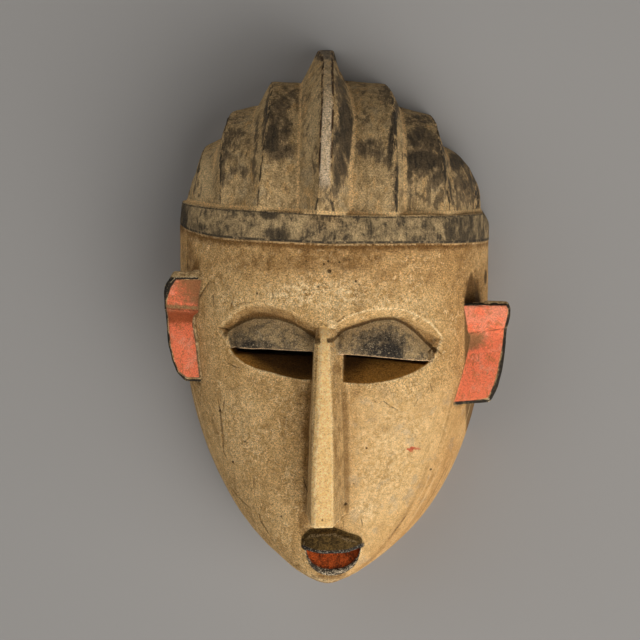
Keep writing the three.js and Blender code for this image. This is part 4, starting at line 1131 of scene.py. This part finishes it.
# painted light on the fin's left face and a left-hand plate
hair = N.mix(N.mul(F["hair_pale"], 0.8), hair, TAN_LIGHT)
soot = N.add(F["soot"], N.add(N.mul(N.sub(long_streak, 0.5), 1.25), N.add(N.mul(N.sub(wisp, 0.5), 1.5), N.add(N.mul(N.sub(grit, 0.5), 0.6), N.mul(N.sub(streak, 0.5), 0.9)))))
hair = N.mix(N.ramp(soot, 0.20, 0.50, 0.0, 0.88), hair, (0.200, 0.138, 0.075, 1))
black = N.ramp(soot, 0.53, 0.76)
hair = N.mix(N.mul(black, N.ramp(streak, 0.40, 0.56, 0.96, 0.60)), hair, SOOT_BLACK)
dust = N.mul(N.ramp(F["valley"], -0.60, -1.15), N.ramp(mottle, 0.42, 0.55, 0.10, 0.9))
hair = N.mix(dust, hair, (0.98, 0.640, 0.290, 1))
line = N.mul(N.ramp(F["arris"], 0.24, 0.38), N.ramp(streak, 0.42, 0.50))
hair = N.mix(N.mul(line, 0.85), hair, SOOT_BLACK)
rub = N.mul(N.ramp(F["arris"], 0.12, 0.30), N.ramp(streak, 0.52, 0.44, 0.0, 0.8))
hair = N.mix(N.mul(rub, 0.6), hair, (0.92, 0.600, 0.270, 1))
worn = N.mul(edge("strip", 0.3, 2.4, mottle), N.mul(N.ramp(F["way"], 90, 100), N.ramp(F["way"], 172, 140, 0.25, 1.0)))
worn = N.mul(worn, N.ramp(N.add(N.mul(streak, 0.6), N.mul(mottle, 0.4)), 0.38, 0.54, 0.35, 1.0))
hair = N.mix(N.mul(worn, 0.9), hair, (0.98, 0.75, 0.49, 1))
hair = N.mix(N.ramp(fine, 0.38, 0.28, 0.0, 0.7), hair, SOOT_BLACK)
strip_line = N.low(N.ramp(F["strip"], -1.3, -0.5), N.ramp(F["strip"], 1.1, 0.3))
strip_line = N.mul(N.mul(strip_line, N.ramp(F["way"], 98, 112)), N.ramp(streak, 0.40, 0.50, 0.25, 0.95))
hair = N.mix(strip_line, hair, (0.075, 0.038, 0.018, 1))

# band: worn dark paint with scratches down it
scratch = N.noise(1.5, 5, 0.66, (1, 5, 3))
band_wear = N.add(N.mul(N.sub(wisp, 0.5), 1.6), N.add(N.mul(N.sub(blotch, 0.5), 1.6), N.mul(N.sub(scratch, 0.5), 0.6)))
band = N.mix(N.ramp(band_wear, -0.30, 0.10), (0.130, 0.095, 0.055, 1), (0.52, 0.365, 0.182, 1))
band = N.mix(N.mul(N.ramp(band_wear, 0.04, 0.38), 0.9), band, (0.74, 0.530, 0.265, 1))
band = N.mix(N.ramp(soot, 0.25, 0.85, 0.0, 0.92), band, (0.06, 0.045, 0.028, 1))
band = N.mix(N.ramp(scratch, 0.39, 0.29, 0.0, 0.8), band, (0.034, 0.026, 0.018, 1))
band = N.mix(N.mul(N.ramp(F["arris"], 0.12, 0.30), N.ramp(streak, 0.47, 0.55)), band, (0.50, 0.36, 0.19, 1))
band = N.mix(N.mul(N.low(N.ramp(F["band"], 2.6, 1.4), N.ramp(F["band"], -0.2, 0.5)), N.ramp(wisp, 0.42, 0.50, 0.15, 0.9)), band, (0.040, 0.032, 0.023, 1))

# lids, the slope under them, mouth
lid_worn = N.add(F["lid_dark"], N.add(N.mul(N.sub(mottle, 0.5), 1.9), N.add(N.mul(N.sub(blotch, 0.5), 1.2), N.mul(N.sub(swirl, 0.5), 1.4))))
lid = N.mix(N.ramp(lid_worn, 0.14, 0.60), (0.56, 0.385, 0.185, 1), (0.195, 0.140, 0.080, 1))
lid = N.mix(N.ramp(lid_worn, 0.58, 0.90), lid, (0.043, 0.034, 0.025, 1))
lid = N.mix(N.ramp(swirl, 0.56, 0.61, 0.0, 0.65), lid, (0.58, 0.44, 0.26, 1))
lid = N.mix(N.mul(N.ramp(speckle, 0.66, 0.78), 0.6), lid, (0.62, 0.50, 0.33, 1))
# worn wood with a painted highlight along the lid's lower edge
lid = N.mix(N.mul(N.ramp(F["lid_edge"], -0.1, 0.4), N.ramp(grit, 0.40, 0.54, 0.25, 0.95)), lid, (0.90, 0.600, 0.330, 1))
# painted shadow: the slope under each lid goes from brown to near black as the deep field rises
slope = N.mix(N.ramp(F["deep"], 0.10, 0.85), (0.42, 0.195, 0.034, 1), (0.070, 0.029, 0.004, 1))
slope = N.mix(N.mul(N.ramp(mottle, 0.52, 0.66), N.ramp(F["deep"], 0.7, 0.0, 0.0, 0.6)), slope, (0.46, 0.24, 0.060, 1))
slope = N.mix(N.mul(N.ramp(mottle, 0.46, 0.36), 0.6), slope, (0.05, 0.025, 0.009, 1))
pad = N.mix(N.ramp(mottle, 0.42, 0.60), (0.055, 0.032, 0.008, 1), (0.165, 0.096, 0.024, 1))
pad = N.mix(N.mul(N.ramp(F["arris"], 0.14, 0.34), N.ramp(grit, 0.42, 0.56, 0.0, 0.7)), pad, (0.34, 0.24, 0.12, 1))
mouth = N.mix(N.ramp(wisp, 0.46, 0.60), (0.66, 0.115, 0.020, 1), (0.24, 0.048, 0.011, 1))
mouth = N.mix(N.ramp(mottle, 0.45, 0.36, 0.0, 0.85), mouth, (0.03, 0.012, 0.006, 1))
ring = N.mix(N.mul(N.ramp(mottle, 0.46, 0.55), N.ramp(grit, 0.44, 0.56)), (0.080, 0.062, 0.043, 1), (0.86, 0.69, 0.46, 1))

# ears: red panels, tan worn rims, black outer edges
RED, RED_PALE, RED_BROWN = (1.18, 0.275, 0.128, 1), (1.06, 0.42, 0.255, 1), (0.66, 0.200, 0.066, 1)
red = N.mix(N.ramp(N.add(N.mul(F["high"], 0.14), blotch), 0.50, 0.68, 0.0, 0.62), RED, RED_PALE)
red = N.mix(N.mul(N.ramp(wisp, 0.49, 0.35), 0.66), red, RED_BROWN)
red = N.mix(N.mul(N.ramp(mottle, 0.56, 0.66), 0.45), red, (0.66, 0.40, 0.200, 1))
red = N.mix(N.mul(N.ramp(swirl, 0.44, 0.36), 0.50), red, (0.42, 0.175, 0.070, 1))
red = N.mix(N.ramp(fine, 0.36, 0.26, 0.0, 0.65), red, (0.16, 0.060, 0.022, 1))
shade = N.ramp(N.add(F["ear_shade"], N.add(N.mul(N.sub(mottle, 0.5), 1.6), N.mul(N.sub(swirl, 0.5), 1.0))), 0.22, 1.0)
red = N.mix(N.mul(shade, 0.88), red, N.mix(F["left"], (0.40, 0.205, 0.082, 1), N.mix(F["high_left"], (0.33, 0.080, 0.022, 1), (0.34, 0.170, 0.066, 1))))
red = N.mix(N.mul(edge("ear_fold", 0.35, 0.9, grit), N.ramp(mottle, 0.40, 0.56, 0.1, 0.65)), red, (0.12, 0.045, 0.02, 1))
red = N.mix(N.mul(edge("ridge", 0.6, 1.6, mottle), N.ramp(grit, 0.40, 0.56, 0.35, 0.8)), red, (0.52, 0.340, 0.150, 1))
rim = N.mix(N.ramp(mottle, 0.42, 0.56), (0.40, 0.245, 0.095, 1), (0.98, 0.680, 0.340, 1))
black_edge = N.mix(N.ramp(mottle, 0.52, 0.66), (0.032, 0.026, 0.019, 1), (0.20, 0.150, 0.085, 1))
ear = N.mix(N.ramp(N.add(F["ear_outer"], N.add(N.mul(N.sub(mottle, 0.5), 3.0), N.mul(N.sub(blotch, 0.5), 5.0))), -0.5, 0.5), rim, black_edge)
ear = N.mix(N.mul(N.ramp(F["arris"], 0.22, 0.36), N.ramp(grit, 0.44, 0.56)), ear, (0.62, 0.47, 0.27, 1))
ear = N.mix(edge("ear_panel", 0.4, 1.6, mottle), ear, red)
black_line = N.low(N.ramp(F["ear_panel"], -0.9, -0.4), N.ramp(F["ear_panel"], 0.3, -0.1))
ear = N.mix(N.mul(black_line, N.ramp(blotch, 0.42, 0.54, 0.0, 0.65)), ear, (0.040, 0.030, 0.020, 1))

# bare wood behind
bare = N.mix(N.ramp(N.noise(3.0, 4, 0.6, (1, 9, 1)), 0.40, 0.62), (0.24, 0.150, 0.072, 1), (0.138, 0.082, 0.037, 1))
bare = N.mix(N.ramp(mottle, 0.44, 0.34, 0.0, 0.7), bare, (0.06, 0.036, 0.017, 1))

paint = face
paint = N.mix(edge("slope", 0.5, 1.4, grit), paint, slope)
paint = N.mix(edge("lid", 0.5, 1.8, mottle), paint, lid)
paint = N.mix(edge("ring", 0.4, 1.2, grit), paint, ring)
paint = N.mix(edge("mouth", 0.4, 1.0, grit), paint, mouth)
paint = N.mix(edge("pad", 0.5, 1.6, mottle), paint, pad)
paint = N.mix(N.mul(edge("lip_line", 0.5, 1.6, mottle), 0.95), paint, N.mix(N.ramp(grit, 0.52, 0.64), (0.036, 0.031, 0.026, 1), (0.34, 0.29, 0.22, 1)))
# dark spots, and painted shade over the right lacing slot
paint = N.mix(N.mul(N.ramp(N.add(F["speck"], N.mul(N.sub(grit, 0.5), 1.2)), -0.30, 0.40), 0.85), paint, (0.06, 0.032, 0.013, 1))
crack_gap = N.sub(N.size(N.add(F["crack_side"], N.mul(N.sub(grit, 0.5), 1.6))), F["crack_half"])
crack = N.mul(N.ramp(crack_gap, 0.35, -0.20), N.mul(N.ramp(mottle, 0.40, 0.54, 0.10, 1.0), N.ramp(grit, 0.42, 0.52, 0.2, 1.0)))
paint = N.mix(N.mul(crack, 0.80), paint, (0.06, 0.034, 0.015, 1))
paint = N.mix(N.mul(N.ramp(N.add(F["red_smear"], N.mul(N.sub(grit, 0.5), 0.7)), -0.40, 0.15), 0.9), paint, (0.60, 0.085, 0.035, 1))
paint = N.mix(N.mul(edge("foot_line", 0.5, 1.0, grit), N.ramp(wisp, 0.40, 0.54, 0.10, 0.75)), paint, (0.96, 0.650, 0.310, 1))
paint = N.mix(edge("band", 0.35, 1.2, grit), paint, band)
paint = N.mix(edge("hair", 0.35, 0.8, grit), paint, hair)
ledge = N.mul(edge("ledge", 0.6, 1.4, grit), N.ramp(wisp, 0.40, 0.50, 0.25, 0.9))
paint = N.mix(ledge, paint, (0.94, 0.620, 0.280, 1))
paint = N.mix(edge("ear", 0.5, 0.8, grit), paint, ear)
paint = N.mix(edge("inside", 1.0, 2.0, mottle), paint, bare)
paint = N.mix(N.mul(N.ramp(granule, 0.75, 1.05), N.sub(0.25, N.mul(nose_zone, 0.20))), paint, DARK)
# fine mottling of light and dark over everything
shake = N.ramp(N.add(N.mul(grit, 0.55), N.mul(speckle, 0.45)), 0.37, 0.63, 0.50, 1.52, smooth=False)
shake = N.add(N.mul(N.sub(shake, 1.0), N.mul(N.mul(lively, N.sub(1.0, N.mul(edge("ear", 0.5), 0.5))), N.sub(1.0, N.mul(nose_zone, 0.45)))), 1.0)
shade_all = N.nodes.new("ShaderNodeVectorMath")
shade_all.operation = "SCALE"
N.put(shade_all.inputs[0], paint)
N.put(shade_all.inputs[3], N.mul(shake, 0.833))
N.put(bsdf.inputs["Base Color"], shade_all.outputs[0])

rough = N.ramp(mottle, 0.3, 0.7, 0.86, 0.66, smooth=False)
rough = N.sub(rough, N.mul(N.mul(black, edge("hair", 0.5)), 0.16))
rough = N.sub(rough, N.mul(edge("lid", 0.5), 0.16))
rough = N.sub(rough, N.mul(edge("band", 0.5), 0.12))
rough = N.add(rough, N.mul(N.ramp(fine, 0.5, 0.3), 0.08))
N.put(bsdf.inputs["Roughness"], N.math("MINIMUM", rough, 0.95))

# relief finer than the mesh, in mm
height = N.mul(mottle, 1.25)
height = N.add(height, N.mul(grit, 0.75))
height = N.sub(height, N.mul(pits, 0.20))
height = N.add(height, N.mul(N.mul(streak, N.ramp(F["hair"], -12.5, -11.0)), 0.80))
height = N.sub(height, N.mul(crack, 0.5))
height = N.sub(height, N.mul(N.ramp(granule, 0.5, 1.0), 0.15))
height = N.mul(height, N.ramp(F["calm"], 0, 1, 1.0, 0.60, smooth=False))
bump = N.nodes.new("ShaderNodeBump")
bump.inputs["Strength"].default_value = 1.0
bump.inputs["Distance"].default_value = 0.001
N.put(bump.inputs["Height"], height)
N.put(bsdf.inputs["Normal"], bump.outputs[0])

thin.materials.clear()
thin.materials.append(mat)
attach(piece, "root")
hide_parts("mask")

# ------------------------------------------------------------------ floor, light, camera
floor_mesh = bpy.data.meshes.new("floor")
floor_mesh.from_pydata([(-12, -12, 0), (12, -12, 0), (12, 12, 0), (-12, 12, 0)], [], [(0, 1, 2, 3)])
floor = bpy.data.objects.new("floor", floor_mesh)
bpy.context.scene.collection.objects.link(floor)
fm = bpy.data.materials.new("floor_grey")
fm.use_nodes = True
fm.node_tree.nodes["Principled BSDF"].inputs["Base Color"].default_value = (0.343, 0.333, 0.323, 1)
fm.node_tree.nodes["Principled BSDF"].inputs["Roughness"].default_value = 1.0
fm.node_tree.nodes["Principled BSDF"].inputs["Specular IOR Level"].default_value = 0.0
# far from the mask the floor fades into the plain grey of the studio
ft, fl_ = fm.node_tree.nodes, fm.node_tree.links
far, where, fade = ft.new("ShaderNodeEmission"), ft.new("ShaderNodeNewGeometry"), ft.new("ShaderNodeMixShader")
far.inputs["Color"].default_value = (0.30, 0.29, 0.28, 1)
far.inputs["Strength"].default_value = 1.0
length = ft.new("ShaderNodeVectorMath")
length.operation = "LENGTH"
away = ft.new("ShaderNodeMapRange")
away.interpolation_type = "SMOOTHSTEP"
away.inputs["From Min"].default_value = 0.9
away.inputs["From Max"].default_value = 2.8
fl_.new(where.outputs["Position"], length.inputs[0])
fl_.new(length.outputs["Value"], away.inputs["Value"])
fl_.new(away.outputs["Result"], fade.inputs[0])
fl_.new(ft["Principled BSDF"].outputs[0], fade.inputs[1])
fl_.new(far.outputs[0], fade.inputs[2])
fl_.new(fade.outputs[0], ft["Material Output"].inputs["Surface"])
floor_mesh.materials.append(fm)


def area(name, at, aim, size, power, colour):
    data = bpy.data.lights.new(name, "AREA")
    data.shape = "RECTANGLE"
    data.size, data.size_y = size
    data.energy = power
    data.color = colour
    ob = bpy.data.objects.new(name, data)
    ob.location = at
    ob.rotation_euler = (Vector(aim) - Vector(at)).to_track_quat("-Z", "Y").to_euler()
    ob.visible_camera = False
    bpy.context.scene.collection.objects.link(ob)
    return ob


FLOOR_SCALE = 1.5
for name, azimuth, height, share, colour in (
        ("key_low", 300, 25, 0.463, (1.0, 0.975, 0.94)), ("key_high", 324, 45, 0.496, (1.0, 0.975, 0.94)),
        ("key_side", 330, 25, 0.063, (1.0, 0.975, 0.94)), ("fill", 144, 45, 0.196, (1.0, 0.985, 0.965)),
        ("fill_left", 180, 45, 0.068, (1.0, 0.985, 0.965))):
    a, h = math.radians(azimuth), math.radians(height)
    at = Vector((math.cos(a) * math.cos(h), math.sin(a) * math.cos(h), math.sin(h))) * 3.4
    area(name, at, (0, 0, 0), (4.0, 4.0), 120 * FLOOR_SCALE * share, colour)
world_ = bpy.data.worlds.new("studio")
world_.use_nodes = True
world_.node_tree.nodes["Background"].inputs["Color"].default_value = (0.80, 0.82, 0.85, 1)
world_.node_tree.nodes["Background"].inputs["Strength"].default_value = 0.02
# seen past the edge of the floor the studio is plain grey; it lights the wood only faintly
wn, wl = world_.node_tree.nodes, world_.node_tree.links
seen = wn.new("ShaderNodeBackground")
seen.inputs["Color"].default_value = (0.30, 0.29, 0.28, 1)
seen.inputs["Strength"].default_value = 1.0
choose, path = wn.new("ShaderNodeMixShader"), wn.new("ShaderNodeLightPath")
wl.new(path.outputs["Is Camera Ray"], choose.inputs[0])
wl.new(wn["Background"].outputs[0], choose.inputs[1])
wl.new(seen.outputs[0], choose.inputs[2])
wl.new(choose.outputs[0], wn["World Output"].inputs["Surface"])
bpy.context.scene.world = world_
bpy.context.scene.view_settings.view_transform = "Standard"

# Camera: a long lens looking down on the mask, turned 4 degrees to its right side and
# 4.5 degrees towards its crest.
AZ, EL, DISTANCE, FOCAL_PX = math.radians(4.0), math.radians(4.5), 1600.0, 2143.4
AIM = (-11.39, -7.47)
e = Vector((math.sin(AZ) * math.cos(EL), math.sin(EL), math.cos(AZ) * math.cos(EL)))
target = Vector((AIM[0] - BOX_CENTRE[0], AIM[1] - BOX_CENTRE[1], 0)) * 0.001
cam_data = bpy.data.cameras.new("camera")
cam_data.sensor_width = 36.0
cam_data.lens = FOCAL_PX * 36.0 / 640.0
cam_data.clip_start = 0.05
camera = bpy.data.objects.new("camera", cam_data)
right = Vector((0, 1, 0)).cross(e).normalized()
up = e.cross(right)
from mathutils import Matrix
rot = Matrix((right, up, e)).transposed().to_4x4()
camera.matrix_world = Matrix.Translation(target + e * (DISTANCE * 0.001)) @ rot
bpy.context.scene.collection.objects.link(camera)
bpy.context.scene.camera = camera

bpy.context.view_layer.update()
note("done")
